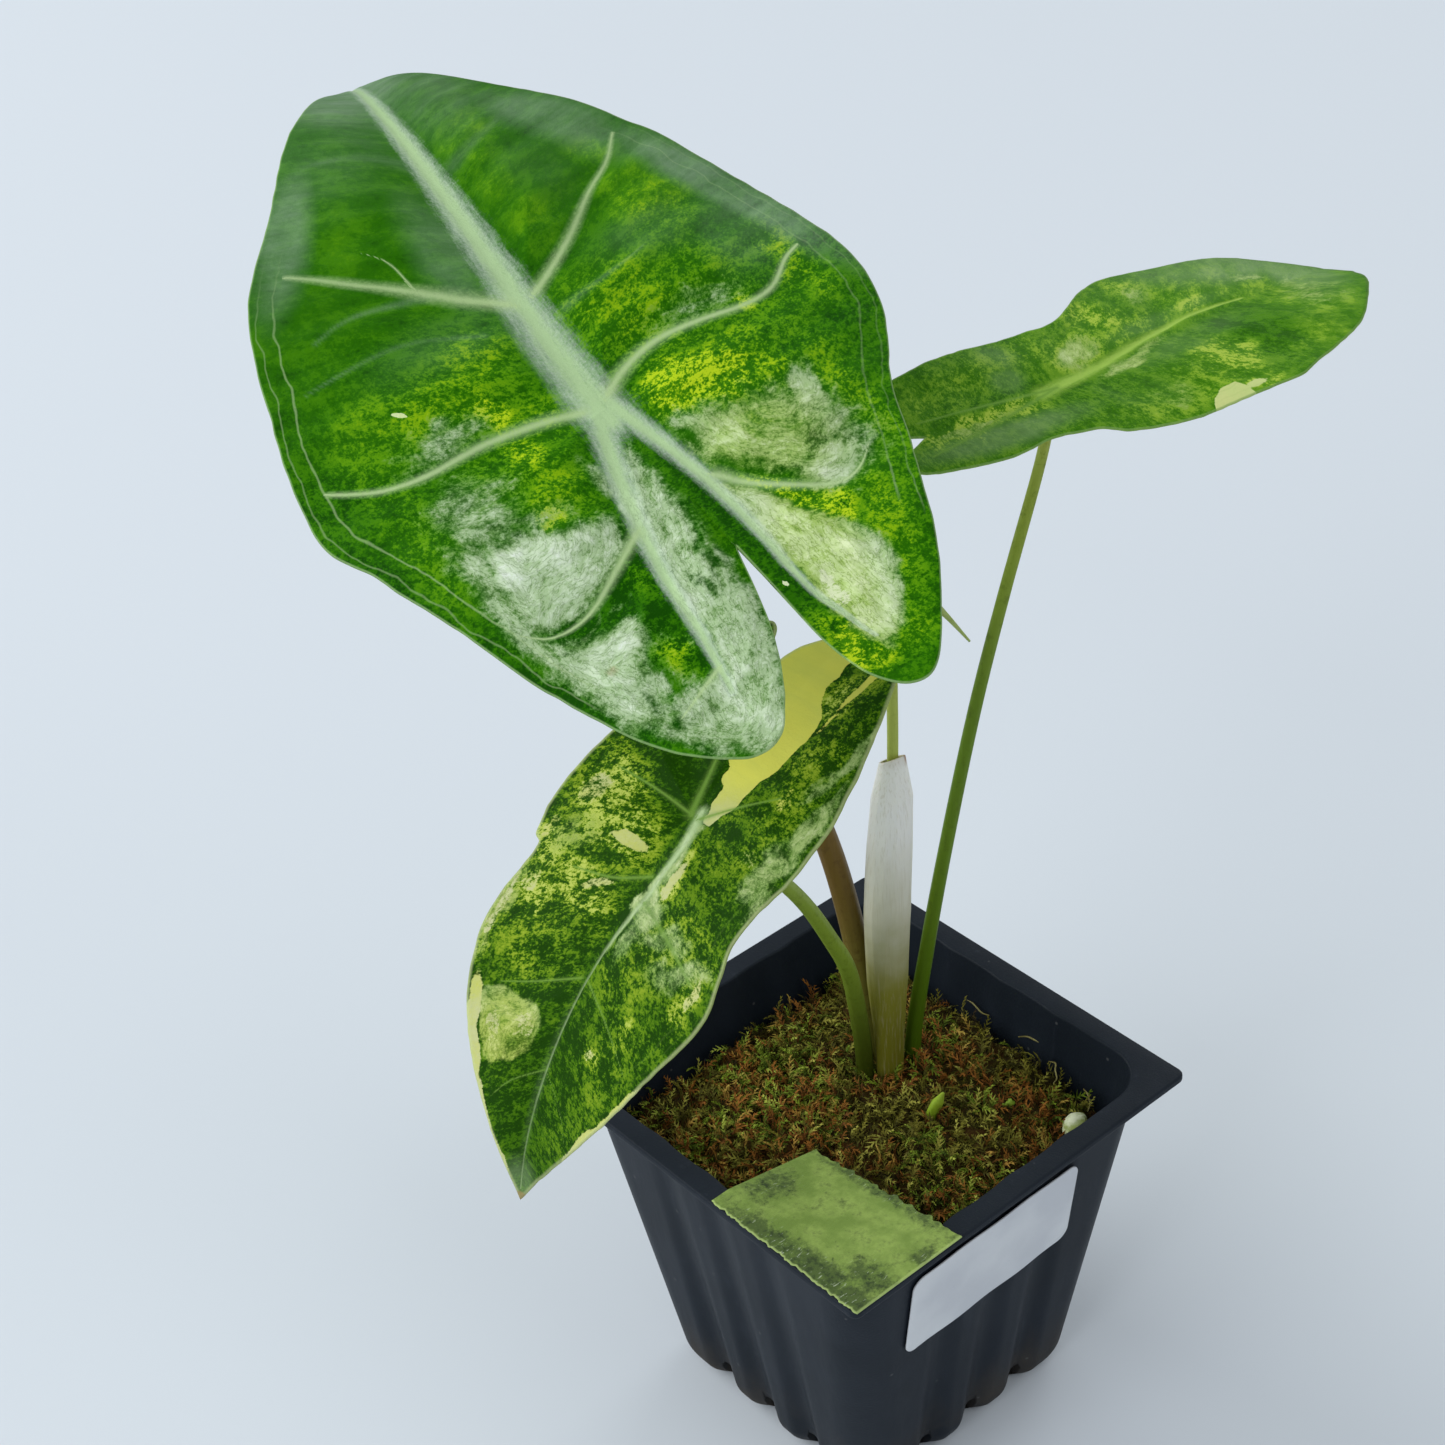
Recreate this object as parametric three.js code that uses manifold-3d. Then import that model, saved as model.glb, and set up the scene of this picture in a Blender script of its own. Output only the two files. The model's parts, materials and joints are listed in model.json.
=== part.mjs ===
// Potted variegated alocasia: square nursery pot, substrate, corm, living moss, three leaves on
// their petioles, a sheath with a furled new leaf, a paper label and a torn piece of masking tape.
// Millimetres, +Z up, origin in the middle of the pot's underside, pot faces along X and Y.
import * as THREE from 'three';
import { mergeVertices } from 'three/addons/utils/BufferGeometryUtils.js';
import Module from 'manifold-3d';

const wasm = await Module();
wasm.setup();

const gap = 0.3; // clearance between pieces that touch

// Pot
const potHeight = 70;
const rimHalf = 40;
const rimThickness = 1.6;
const wallHalfTop = 36.8;
const wallHalfBottom = 27;
const wallThickness = 1.2;
const floorThickness = 1.6;
const cornerRadiusTop = 9;
const cornerRadiusBottom = 8;
const footRound = 5; // height of the rounded lower edge
const footInset = 3.4;
const fluteCentres = [-13, 0, 13];
const fluteWidth = 9.5;
const fluteDepthTop = 0.3;
const fluteDepthBottom = 2.4;
const wallLevels = [22, 45]; // heights between which the wall is ruled straight
const cavityFoot = 3; // height and inset of the bevel inside the floor's edge
const cavityFootInset = 2.2;
const drainRadius = 2.6;
const drainRing = 15;
const slot = { width: 3.4, length: 6, height: 4.6, middleZ: 3.3, fromEdge: 4 };

// Growing medium, corm and moss
const substrateTop = 52;
const cormRadius = 8.6;
const cormBottom = 34;
const crownX = 10;
const crownY = 4.6;
const mossEdgeTop = 57.5;
const mossDome = 4.6;
const mossWallGap = 1.1;
const tuftCount = 90;
const tuftMargin = 9;
const tuftRoot = 1.6; // depth of a tuft's root in the moss
const pebbleRadius = 2.5;
const pebblePlace = [24.2, -28.6];
const leafBitPlace = [6.6, -10.6];

// Tape and label
const tapeLength = 24.5;
const tapeWidth = 35;
const tapeThickness = 0.5;
const tapeSag = 4.6;
const labelWidth = 40;
const labelHeight = 20;
const labelThickness = 0.5;
const labelCorner = 2.6;
const labelMiddleX = -3.2;
const labelTopZ = 62;

const leafGreen = '#3f7d1c';
const creamGreen = '#a9b04a';

// One blade each. u runs from the petiole towards the tip, v to the right of it as seen from
// above, both along the blade; angles are degrees, bends are degrees per millimetre.
const leafOne = {
  name: 'leaf_1_blade', junction: [-30, 16, 208], heading: 82.5, slope: 21.5, roll: 10.5,
  droop: -0.05, droopGrowth: 0.0045, lobeDroop: 0, twist: -0.11, bendLeft: 0.38, bendRight: 0.16,
  sway: 0.09, fold: 1, thickness: 0.9, rib: 1.3, puff: 1.5, veinWidth: 6, waveHeight: 0.5, waves: 9,
  around: 88, rings: 9, color: leafGreen,
  right: [[116, 0], [109, 4.5], [99, 10], [87, 16], [74.5, 22], [62, 28.5], [47, 36], [30.5, 41.8],
    [14, 46.2], [3.5, 46.8], [-6.5, 44], [-18, 37.3], [-31.5, 31.8], [-46, 25.6], [-56.5, 19.2],
    [-62.5, 14], [-63, 9.8], [-58.5, 5.7], [-51, 3.5], [-40, 2.7], [-31.3, 2.1]],
  left: [[-31.3, 2.1], [-40, 0.3], [-47.5, -1.9], [-55, -5.6], [-59.8, -9.6], [-59.6, -14.6],
    [-54, -21.5], [-45.5, -26.4], [-31.5, -32.2], [-18, -37], [-5.5, -41.7], [3, -45.1],
    [12, -44.9], [27, -42], [42, -38], [51, -33.5], [60, -27.4], [70, -21.8], [80, -16.4], [90, -11],
    [101, -6.2], [116, 0]],
  veins: [[[0, 0], [116, 0]],
    [[1, 1], [6.5, 10], [7, 22], [6.5, 34], [11.5, 41]], [[1, -1], [3, -10], [4, -24], [11.5, -41]],
    [[24.5, 1], [33.5, 14.5], [52.5, 30]], [[24.5, -1], [31.5, -12], [48.5, -30]],
    [[0, 0], [-16, 5], [-33, 7.8], [-58, 11]], [[0, 0], [-16, -6], [-32, -9.8], [-53, -12.5]],
    [[-22.5, 8.3], [-29.5, 19], [-25.5, 29]], [[-23, -7], [-29, -15.5], [-29.5, -21]]],
};
const leafTwo = {
  name: 'leaf_2_blade', junction: [-40.5, -9.5, 153.5], heading: 183, slope: -26, roll: -4.5,
  droop: 0.67, droopGrowth: 0.003, lobeDroop: 0.16, twist: 0.1, bendLeft: 0.2, bendRight: 0.2,
  sway: 0.12, fold: 5.5, thickness: 0.8, rib: 0.9, puff: 0.7, veinWidth: 4, waveHeight: 0.4, waves: 8,
  around: 76, rings: 6, color: creamGreen,
  right: [[68, 0], [63.8, 1.8], [56, 7.4], [48.5, 13.5], [40.5, 18], [31.5, 20.7], [25, 21.4],
    [18.5, 20.8], [15.2, 20.8], [13.8, 22.4], [8, 23.4], [-1, 23.2], [-13, 21.4], [-24, 19],
    [-31.5, 16.5], [-34, 14], [-32.5, 11.6], [-26, 9.2], [-18, 6.4], [-13, 4.6]],
  left: [[-13, 4.6], [-18, 5.6], [-25, 6.8], [-32, 5.6], [-37.5, 0], [-38.5, -7], [-35.5, -13],
    [-27, -18], [-18, -21], [-9, -23.4], [0.5, -24.1], [7.5, -23], [13.5, -21.8], [19, -22.8],
    [25.8, -23.5], [34.5, -20.5], [47.5, -13.9], [60, -5.1], [68, 0]],
  veins: [[[0, 0], [68, 0]], [[0, 0], [-0.5, 8], [1, 20]], [[0, 0], [4, -12], [2, -21]],
    [[13, 0], [17, 8], [21, 16.5]], [[13, 0], [17.5, -9], [22, -19]], [[29, 0.5], [35.5, 14]],
    [[29, 0], [36, -14]], [[0, 0], [-12, 9], [-31, 14]], [[0, 0], [-14, -6], [-35, -7]]],
};
const leafThree = {
  name: 'leaf_3_blade', junction: [38, -9, 193.5], heading: -5, slope: 1, roll: -14.5,
  droop: -0.1, droopGrowth: 0.0035, lobeDroop: -0.04, twist: 0.32, bendLeft: 0.42, bendRight: 0.53,
  sway: -0.04, fold: 3, thickness: 0.8, rib: 0.8, puff: 0.5, veinWidth: 4, waveHeight: 0.4, waves: 7,
  around: 64, rings: 6, color: leafGreen,
  right: [[62.5, 5], [60, 10], [56, 13.5], [50, 17.4], [43, 19], [37.5, 19.9], [32, 21],
    [21, 19], [10.5, 16.4], [3, 13.8], [-1, 11.1], [-8, 8.7], [-16, 8.2], [-24.5, 6.4],
    [-30, 5], [-31.8, 3.2], [-31, 1.1], [-25.7, -1.2]],
  left: [[-25.7, -1.2], [-30, -3.6], [-31.6, -7.5], [-28.5, -11.2], [-22.8, -13], [-13, -14],
    [-3.5, -13.9], [5, -13.2], [11, -13], [15.5, -14.9], [21.5, -18], [28, -20], [34.5, -19.3],
    [45.5, -16], [52.5, -12], [57.5, -6.5], [60.5, -1], [62.5, 5]],
  veins: [[[0, 0], [62.5, 5]], [[6, 0], [10, 8], [17, 15]], [[6, 0], [9, -7], [15, -12]],
    [[24, -0.8], [31, 9], [40, 16]], [[24, -0.8], [30, -10], [38, -15]], [[0, 0], [-14, 2.5], [-29, 4]],
    [[0, 0], [-12, -5], [-27, -8.5]]],
};

const radians = Math.PI / 180;

// Seeded random numbers, so that the tufts are alike on every run
function randomSource(seed) {
  let state = seed;
  return () => {
    state = (state * 1664525 + 1013904223) % 4294967296;
    return state / 4294967296;
  };
}

function toManifold(geometry) {
  const plain = geometry.clone();
  plain.deleteAttribute('normal');
  plain.deleteAttribute('uv');
  const merged = mergeVertices(plain, 1e-3);
  return new wasm.Manifold(new wasm.Mesh({
    numProp: 3,
    vertProperties: new Float32Array(merged.attributes.position.array),
    triVerts: new Uint32Array(merged.index.array),
  }));
}

function toGeometry(solid) {
  const mesh = solid.getMesh();
  const geometry = new THREE.BufferGeometry();
  geometry.setAttribute('position', new THREE.BufferAttribute(new Float32Array(mesh.vertProperties), 3));
  geometry.setIndex(Array.from(mesh.triVerts));
  return geometry;
}

function geometryFrom(points, triangles) {
  const geometry = new THREE.BufferGeometry();
  geometry.setAttribute('position', new THREE.Float32BufferAttribute(points.flat(), 3));
  geometry.setIndex(triangles.flat());
  return geometry;
}

// Closed loft through rings that all have the same number of points, counterclockwise from above
function loft(rings) {
  const count = rings[0].length;
  const points = rings.flat();
  const triangles = [];
  for (let level = 0; level < rings.length - 1; level += 1) {
    for (let i = 0; i < count; i += 1) {
      const a = level * count + i;
      const b = level * count + ((i + 1) % count);
      triangles.push([a, b, b + count], [a, b + count, a + count]);
    }
  }
  for (const [level, up] of [[0, false], [rings.length - 1, true]]) {
    const ring = rings[level];
    const middle = [0, 1, 2].map((axis) => ring.reduce((sum, point) => sum + point[axis], 0) / count);
    const hub = points.length;
    points.push(middle);
    for (let i = 0; i < count; i += 1) {
      const a = level * count + i;
      const b = level * count + ((i + 1) % count);
      triangles.push(up ? [a, b, hub] : [b, a, hub]);
    }
  }
  return geometryFrom(points, triangles);
}

// Round or oval stalk along a smooth path, with its thickness given at every path point
function stalk(path, radii, { sides = 10, steps = 24, grow = 0, squeeze = 1 } = {}) {
  const curve = new THREE.CatmullRomCurve3(path.map((point) => new THREE.Vector3(...point)));
  const side = new THREE.Vector3();
  const rings = [];
  for (let step = 0; step <= steps; step += 1) {
    const along = step / steps;
    const middle = curve.getPoint(along);
    const tangent = curve.getTangent(along);
    side.set(1, 0, 0).addScaledVector(tangent, -tangent.x).normalize();
    const across = new THREE.Vector3().crossVectors(tangent, side);
    const place = along * (radii.length - 1);
    const index = Math.min(Math.floor(place), radii.length - 2);
    const radius = THREE.MathUtils.lerp(radii[index], radii[index + 1], place - index) + grow;
    rings.push(Array.from({ length: sides }, (_, i) => {
      const turn = (i / sides) * 2 * Math.PI;
      return middle.clone()
        .addScaledVector(side, Math.cos(turn) * radius)
        .addScaledVector(across, Math.sin(turn) * radius * squeeze)
        .toArray();
    }));
  }
  return loft(rings);
}

// Frame of a blade where the petiole meets it: along (to the tip), right and up
function bladeAxes(leaf) {
  const heading = leaf.heading * radians;
  const slope = leaf.slope * radians;
  const along = new THREE.Vector3(
    Math.cos(heading) * Math.cos(slope), Math.sin(heading) * Math.cos(slope), Math.sin(slope));
  const level = new THREE.Vector3(Math.sin(heading), -Math.cos(heading), 0);
  const right = level.clone().applyAxisAngle(along, -leaf.roll * radians);
  return { along, right, up: new THREE.Vector3().crossVectors(right, along) };
}

// Point of the bent blade at the flat place (u, v), raised by lift from its surface
function bladePoint(leaf, u, v, lift) {
  const { along, right, up } = bladeAxes(leaf);
  const steps = 24;
  const pitchAt = (w) => (w > 0
    ? -(leaf.droop * w + leaf.droopGrowth * w * w)
    : -leaf.lobeDroop * w) * radians;
  const point = new THREE.Vector3(...leaf.junction);
  for (let i = 0; i < steps; i += 1) {
    const w = (u * (i + 0.5)) / steps;
    const turn = w > 0 ? leaf.sway * radians * w : 0;
    const length = u / steps;
    point.addScaledVector(along, Math.cos(pitchAt(w)) * Math.cos(turn) * length);
    point.addScaledVector(up, Math.sin(pitchAt(w)) * Math.cos(turn) * length);
    point.addScaledVector(right, Math.sin(turn) * length);
  }
  const pitch = pitchAt(u);
  const upHere = along.clone().multiplyScalar(-Math.sin(pitch)).addScaledVector(up, Math.cos(pitch));
  const twist = leaf.twist * radians * u;
  const acrossHere = right.clone().multiplyScalar(Math.cos(twist)).addScaledVector(upHere, Math.sin(twist));
  const normal = upHere.multiplyScalar(Math.cos(twist)).addScaledVector(right, -Math.sin(twist));
  const bend = (v < 0 ? leaf.bendLeft : leaf.bendRight) * radians;
  const reach = Math.sin(bend * Math.abs(v)) / bend;
  const drop = (1 - Math.cos(bend * Math.abs(v))) / bend;
  const fold = leaf.fold * radians;
  point.addScaledVector(acrossHere, Math.sign(v) * (reach * Math.cos(fold) + drop * Math.sin(fold)));
  point.addScaledVector(normal, reach * Math.sin(fold) - drop * Math.cos(fold) + lift);
  return point.toArray();
}

function distanceToPath(u, v, path) {
  let nearest = Infinity;
  for (let i = 0; i < path.length - 1; i += 1) {
    const [u0, v0] = path[i];
    const du = path[i + 1][0] - u0;
    const dv = path[i + 1][1] - v0;
    const along = THREE.MathUtils.clamp(((u - u0) * du + (v - v0) * dv) / (du * du + dv * dv), 0, 1);
    nearest = Math.min(nearest, Math.hypot(u - u0 - along * du, v - v0 - along * dv));
  }
  return nearest;
}

function outlineHalf(points, count) {
  const curve = new THREE.CatmullRomCurve3(
    points.map(([u, v]) => new THREE.Vector3(u, v, 0)), false, 'catmullrom', 0.5);
  return curve.getSpacedPoints(count).map((point) => [point.x, point.y]);
}

// Blade with puffed fields between its veins, a waved margin and a raised rib underneath
function bladeGeometry(leaf) {
  const half = leaf.around / 2;
  const outline = [...outlineHalf(leaf.right, half).slice(0, half), ...outlineHalf(leaf.left, half).slice(0, half)];
  const places = [[0, 0, 0, 0]];
  for (let ring = 1; ring <= leaf.rings; ring += 1) {
    const share = (ring / leaf.rings) ** 0.85;
    outline.forEach(([u, v], i) => places.push([u * share, v * share, share, i / leaf.around]));
  }
  const top = [];
  const bottom = [];
  for (const [u, v, share, turn] of places) {
    const toVein = Math.min(...leaf.veins.map((vein) => distanceToPath(u, v, vein)));
    const margin = Math.max(0, (share - 0.6) / 0.4);
    const puff = leaf.puff * (1 - Math.exp(-((toVein / leaf.veinWidth) ** 2))) * (1 - 0.6 * margin);
    const wave = leaf.waveHeight * Math.sin(turn * leaf.waves * 2 * Math.PI) * margin;
    const toMidrib = distanceToPath(u, v, leaf.veins[0]);
    const reach = THREE.MathUtils.clamp(1 - u / leaf.right[0][0], 0, 1);
    const rib = leaf.rib * reach * Math.exp(-((toMidrib / 2.4) ** 2)) * (1 - margin);
    top.push(bladePoint(leaf, u, v, puff + wave));
    bottom.push(bladePoint(leaf, u, v, puff + wave - leaf.thickness - rib));
  }
  const count = leaf.around;
  const shift = top.length;
  const triangles = [];
  const bothFaces = (a, b, c) => triangles.push([a, b, c], [c + shift, b + shift, a + shift]);
  for (let i = 0; i < count; i += 1) {
    const next = (i + 1) % count;
    bothFaces(0, 1 + next, 1 + i);
    for (let ring = 1; ring < leaf.rings; ring += 1) {
      const a = 1 + (ring - 1) * count + i;
      const b = 1 + (ring - 1) * count + next;
      bothFaces(a, b, b + count);
      bothFaces(a, b + count, a + count);
    }
    const a = 1 + (leaf.rings - 1) * count + i;
    const b = 1 + (leaf.rings - 1) * count + next;
    triangles.push([a, b, b + shift], [a, b + shift, a + shift]);
  }
  return geometryFrom([...top, ...bottom], triangles);
}

// End of a petiole: it meets the blade's underside square on
function petioleEnd(leaf, below) {
  const { up } = bladeAxes(leaf);
  const reach = leaf.thickness + leaf.rib + gap + below;
  return new THREE.Vector3(...leaf.junction).addScaledVector(up, -reach).toArray();
}

// Outline of the pot's wall at a height: rounded square with three flutes in every face
function wallRing(z, inset) {
  const share = z / potHeight;
  const half = THREE.MathUtils.lerp(wallHalfBottom, wallHalfTop, share) - inset;
  const corner = THREE.MathUtils.lerp(cornerRadiusBottom, cornerRadiusTop, share) - inset * 0.5;
  const depth = THREE.MathUtils.lerp(fluteDepthBottom, fluteDepthTop, share ** 0.7);
  const straight = half - corner;
  const ring = [];
  for (let face = 0; face < 4; face += 1) {
    const turn = (face * Math.PI) / 2;
    const place = (x, y) => [x * Math.cos(turn) - y * Math.sin(turn), x * Math.sin(turn) + y * Math.cos(turn), z];
    const columns = 16;
    for (let i = 0; i < columns; i += 1) {
      const along = -straight + (2 * straight * i) / columns;
      let groove = 0;
      for (const centre of fluteCentres) {
        const away = Math.abs(along - centre * (straight / (wallHalfTop - cornerRadiusTop)) ** 0.3) / (fluteWidth / 2);
        if (away < 1) groove = Math.max(groove, Math.cos((away * Math.PI) / 2) ** 2);
      }
      ring.push(place(along, -half + depth * groove));
    }
    const arcSteps = 4;
    for (let i = 0; i < arcSteps; i += 1) {
      const angle = -Math.PI / 2 + (i / arcSteps) * (Math.PI / 2);
      ring.push(place(straight + corner * Math.cos(angle), -straight + corner * Math.sin(angle)));
    }
  }
  return ring;
}

function potGeometry() {
  const flangeBottom = potHeight - rimThickness;
  const foot = [0, 0.1, 0.3, 0.6, 1].map((share) => {
    const z = share * footRound;
    return wallRing(z, footInset * (1 - Math.sqrt(1 - (1 - share) ** 2)));
  });
  const body = toManifold(loft([...foot, ...wallLevels.map((z) => wallRing(z, 0)), wallRing(flangeBottom, 0)]));
  const flange = new THREE.BoxGeometry(2 * rimHalf, 2 * rimHalf, rimThickness);
  flange.translate(0, 0, potHeight - rimThickness / 2 - 0.01);
  const cavity = toManifold(loft([wallRing(floorThickness, wallThickness + cavityFootInset),
    wallRing(floorThickness + cavityFoot, wallThickness), ...wallLevels.map((z) => wallRing(z, wallThickness)),
    wallRing(potHeight + 1, wallThickness)]));
  let pot = body.add(toManifold(flange)).subtract(cavity);
  for (let face = 0; face < 4; face += 1) {
    const turn = (face * Math.PI) / 2;
    const hole = new THREE.CylinderGeometry(drainRadius, drainRadius, 6, 16);
    hole.rotateX(Math.PI / 2).translate(drainRing, 0, floorThickness).rotateZ(turn + Math.PI / 4);
    pot = pot.subtract(toManifold(hole));
    for (const centre of fluteCentres) {
      const cut = new THREE.BoxGeometry(slot.width, slot.length, slot.height);
      cut.translate(centre * 0.9, -wallHalfBottom + slot.fromEdge, slot.middleZ).rotateZ(turn);
      pot = pot.subtract(toManifold(cut));
    }
  }
  return toGeometry(pot);
}

// Stalks and their paths
const crownZ = substrateTop + gap;
const stalks = {
  leaf_1_petiole: {
    path: [[11.4, 8.8, crownZ], [10.6, 8.8, 66], [9.2, 8.9, 80], [7.2, 9.2, 95], [2.6, 10.6, 117],
      [-7, 14.3, 145], [-17.5, 19, 170], petioleEnd(leafOne, 16), petioleEnd(leafOne, 5), petioleEnd(leafOne, 0)],
    radii: [2.3, 2.3, 2.25, 2.2, 2.1, 1.9, 1.8, 1.7, 1.7, 1.9],
    color: '#84653c',
  },
  leaf_2_petiole: {
    path: [[6.6, 6.3, crownZ], [5.9, 5.6, 66], [3.4, 4.2, 80], [-0.3, 2.4, 93], [-5.4, 0.8, 103.5],
      [-13, -1.5, 117], [-22.5, -4.4, 130], petioleEnd(leafTwo, 10), petioleEnd(leafTwo, 3), petioleEnd(leafTwo, 0)],
    radii: [1.6, 1.6, 1.6, 1.5, 1.4, 1.3, 1.2, 1.2, 1.2, 1.35],
    color: '#7f9440',
  },
  leaf_3_petiole: {
    path: [[14.9, 3.2, crownZ], [15.7, 2.8, 68], [18, 1.6, 86], [21.2, 0, 107], [26.2, -2.8, 137],
      [30.6, -5.1, 158], petioleEnd(leafThree, 14), petioleEnd(leafThree, 4), petioleEnd(leafThree, 0)],
    radii: [1.5, 1.45, 1.35, 1.25, 1.15, 1.05, 0.95, 0.95, 1.1],
    color: '#5c8a2c',
  },
};
const sheath = {
  path: [[10, 3.4, crownZ], [10, 3.2, 71.5], [9.9, 3.1, 84], [10, 2.8, 99], [10.9, 2.8, 112], [12.2, 3.2, 122.5],
    [13.6, 4.1, 131.5]],
  radii: [2.4, 3, 4, 4.5, 4.35, 3.9, 1.9],
  mouth: { middle: [13.2, 3.9, 129.3], tilt: -30, turn: -105 }, // slanted opening at the tip
  color: '#d9d8c6',
};
const newLeaf = {
  path: [[12.3, 3.4, 122], [13.2, 3.9, 128], [13.9, 4.3, 141], [15, 5.6, 149.5], [18.4, 7.8, 156],
    [23.6, 9.5, 156.2], [27.8, 9.9, 151.8], [31, 9, 147.5], [33.3, 5.4, 142.5]],
  radii: [0.9, 0.95, 0.95, 1.2, 2.1, 2, 1, 0.5, 0.4],
  color: '#7c9a44',
};

function sheathGeometry() {
  let solid = toManifold(stalk(sheath.path, sheath.radii, { sides: 12, steps: 16, squeeze: 0.8 }));
  const { middle, tilt, turn } = sheath.mouth;
  const cutter = new THREE.BoxGeometry(20, 20, 20);
  cutter.translate(0, 0, 10).rotateY(tilt * radians).rotateZ(turn * radians).translate(...middle);
  solid = solid.subtract(toManifold(cutter));
  solid = solid.subtract(toManifold(stalk(newLeaf.path, newLeaf.radii, { grow: gap })));
  return toGeometry(solid);
}

function substrateGeometry() {
  const reach = wallThickness + gap;
  const body = toManifold(loft([wallRing(floorThickness + gap, reach + cavityFootInset),
    wallRing(floorThickness + cavityFoot, reach), wallRing(wallLevels[0], reach), wallRing(substrateTop, reach)]));
  const hole = new THREE.CylinderGeometry(cormRadius + gap, cormRadius + gap, 60, 28);
  hole.rotateX(Math.PI / 2).translate(crownX, crownY, cormBottom - gap + 30);
  return toGeometry(body.subtract(toManifold(hole)));
}

function cormGeometry() {
  const height = substrateTop - cormBottom;
  const profile = [[0, 0], [3.2, 0.4], [6, 2.6], [7.9, 6.5], [cormRadius, 11], [cormRadius - 0.6, 15],
    [cormRadius - 2, height], [0, height]];
  const geometry = new THREE.LatheGeometry(profile.map(([r, z]) => new THREE.Vector2(r, z)), 24);
  geometry.rotateX(Math.PI / 2).translate(crownX, crownY, cormBottom);
  return geometry;
}

// Height of the moss: a low dome with soft hummocks
function mossHeight(x, y) {
  const fromCrown = Math.hypot(x - crownX * 0.5, y) / wallHalfTop;
  const dome = mossDome * Math.max(0, 1 - fromCrown ** 2);
  const hummocks = 0.7 * Math.sin(x * 0.42 + 1.3) * Math.sin(y * 0.37 + 0.4)
    + 0.45 * Math.sin(x * 0.91 - y * 0.63) + 0.3 * Math.sin(y * 1.37 + x * 0.55 + 2);
  return mossEdgeTop + dome + hummocks;
}

function mossGeometry() {
  const edge = wallRing(substrateTop + gap, wallThickness + mossWallGap);
  const shares = [1, 0.92, 0.82, 0.7, 0.57, 0.44, 0.31, 0.17];
  const place = (point, share, z) => [point[0] * share, point[1] * share, z];
  const keep = edge.filter((_, i) => i % 2 === 0);
  const rings = [keep.map((point) => place(point, 0.97, substrateTop + gap)),
    keep.map((point) => place(point, 1, substrateTop + 2.5))];
  for (const share of shares) {
    const drop = share === 1 ? 1.6 : 0;
    rings.push(keep.map((point) => place(point, share, mossHeight(point[0] * share, point[1] * share) - drop)));
  }
  let moss = toManifold(loft(rings));
  const random = randomSource(41);
  const tufts = [];
  for (let i = 0; i < tuftCount; i += 1) {
    const x = (random() * 2 - 1) * (wallHalfTop - tuftMargin);
    const y = (random() * 2 - 1) * (wallHalfTop - tuftMargin);
    const height = 1.4 + random() * 1.8;
    const width = 1.1 + random() * 1.1;
    const tuft = new THREE.ConeGeometry(width, height + tuftRoot, 4);
    tuft.rotateX(Math.PI / 2).rotateZ(random() * 6).rotateY((random() - 0.5) * 0.9).rotateX((random() - 0.5) * 0.9);
    tuft.translate(x, y, mossHeight(x, y) + (height - tuftRoot) / 2);
    const underTape = x < -rimHalf + tapeLength + 3 && y < -rimHalf + tapeWidth + 3;
    if (!underTape) tufts.push(toManifold(tuft));
  }
  moss = wasm.Manifold.union([moss, ...tufts]);
  const stems = [...Object.values(stalks), sheath];
  for (const stem of stems) {
    moss = moss.subtract(toManifold(stalk(stem.path, stem.radii, { sides: 10, grow: gap + 0.1 })));
  }
  return toGeometry(moss);
}

// Torn piece of masking tape: lies on the rim's front left corner and sags on to the moss
function tapeGeometry() {
  const columns = 6;
  const rows = 16;
  const random = randomSource(7);
  const top = [];
  const bottom = [];
  const tears = Array.from({ length: rows + 1 }, () => [random() * 0.9, random() * 1.1]);
  for (let row = 0; row <= rows; row += 1) {
    for (let column = 0; column <= columns; column += 1) {
      const tornStart = column === 0 ? tears[row][0] : 0;
      const tornEnd = column === columns ? tears[row][1] : 0;
      const x = (tapeLength * column) / columns + tornStart - tornEnd - rimHalf;
      const y = (tapeWidth * row) / rows - rimHalf;
      const inX = THREE.MathUtils.clamp((x + wallHalfTop - 1) / (tapeLength - 3.6), 0, 1.1);
      const inY = THREE.MathUtils.clamp((y + wallHalfTop - 1) / (tapeWidth - 3.6), 0, 1.1);
      const z = potHeight + gap - tapeSag * inX * inY;
      bottom.push([x, y, z]);
      top.push([x, y, z + tapeThickness]);
    }
  }
  const shift = top.length;
  const across = columns + 1;
  const triangles = [];
  for (let row = 0; row < rows; row += 1) {
    for (let column = 0; column < columns; column += 1) {
      const a = row * across + column;
      const corners = [a, a + 1, a + 1 + across, a + across];
      for (const [i, j, k] of [[0, 1, 2], [0, 2, 3]]) {
        triangles.push([corners[i], corners[j], corners[k]]);
        triangles.push([corners[k] + shift, corners[j] + shift, corners[i] + shift]);
      }
    }
  }
  const last = rows * across;
  const edge = [];
  for (let column = 0; column < columns; column += 1) edge.push(column);
  for (let row = 0; row < rows; row += 1) edge.push(row * across + columns);
  for (let column = columns; column > 0; column -= 1) edge.push(last + column);
  for (let row = rows; row > 0; row -= 1) edge.push(row * across);
  edge.forEach((a, i) => {
    const b = edge[(i + 1) % edge.length];
    triangles.push([b, a, a + shift], [b, a + shift, b + shift]);
  });
  return geometryFrom([...top, ...bottom], triangles);
}

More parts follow.
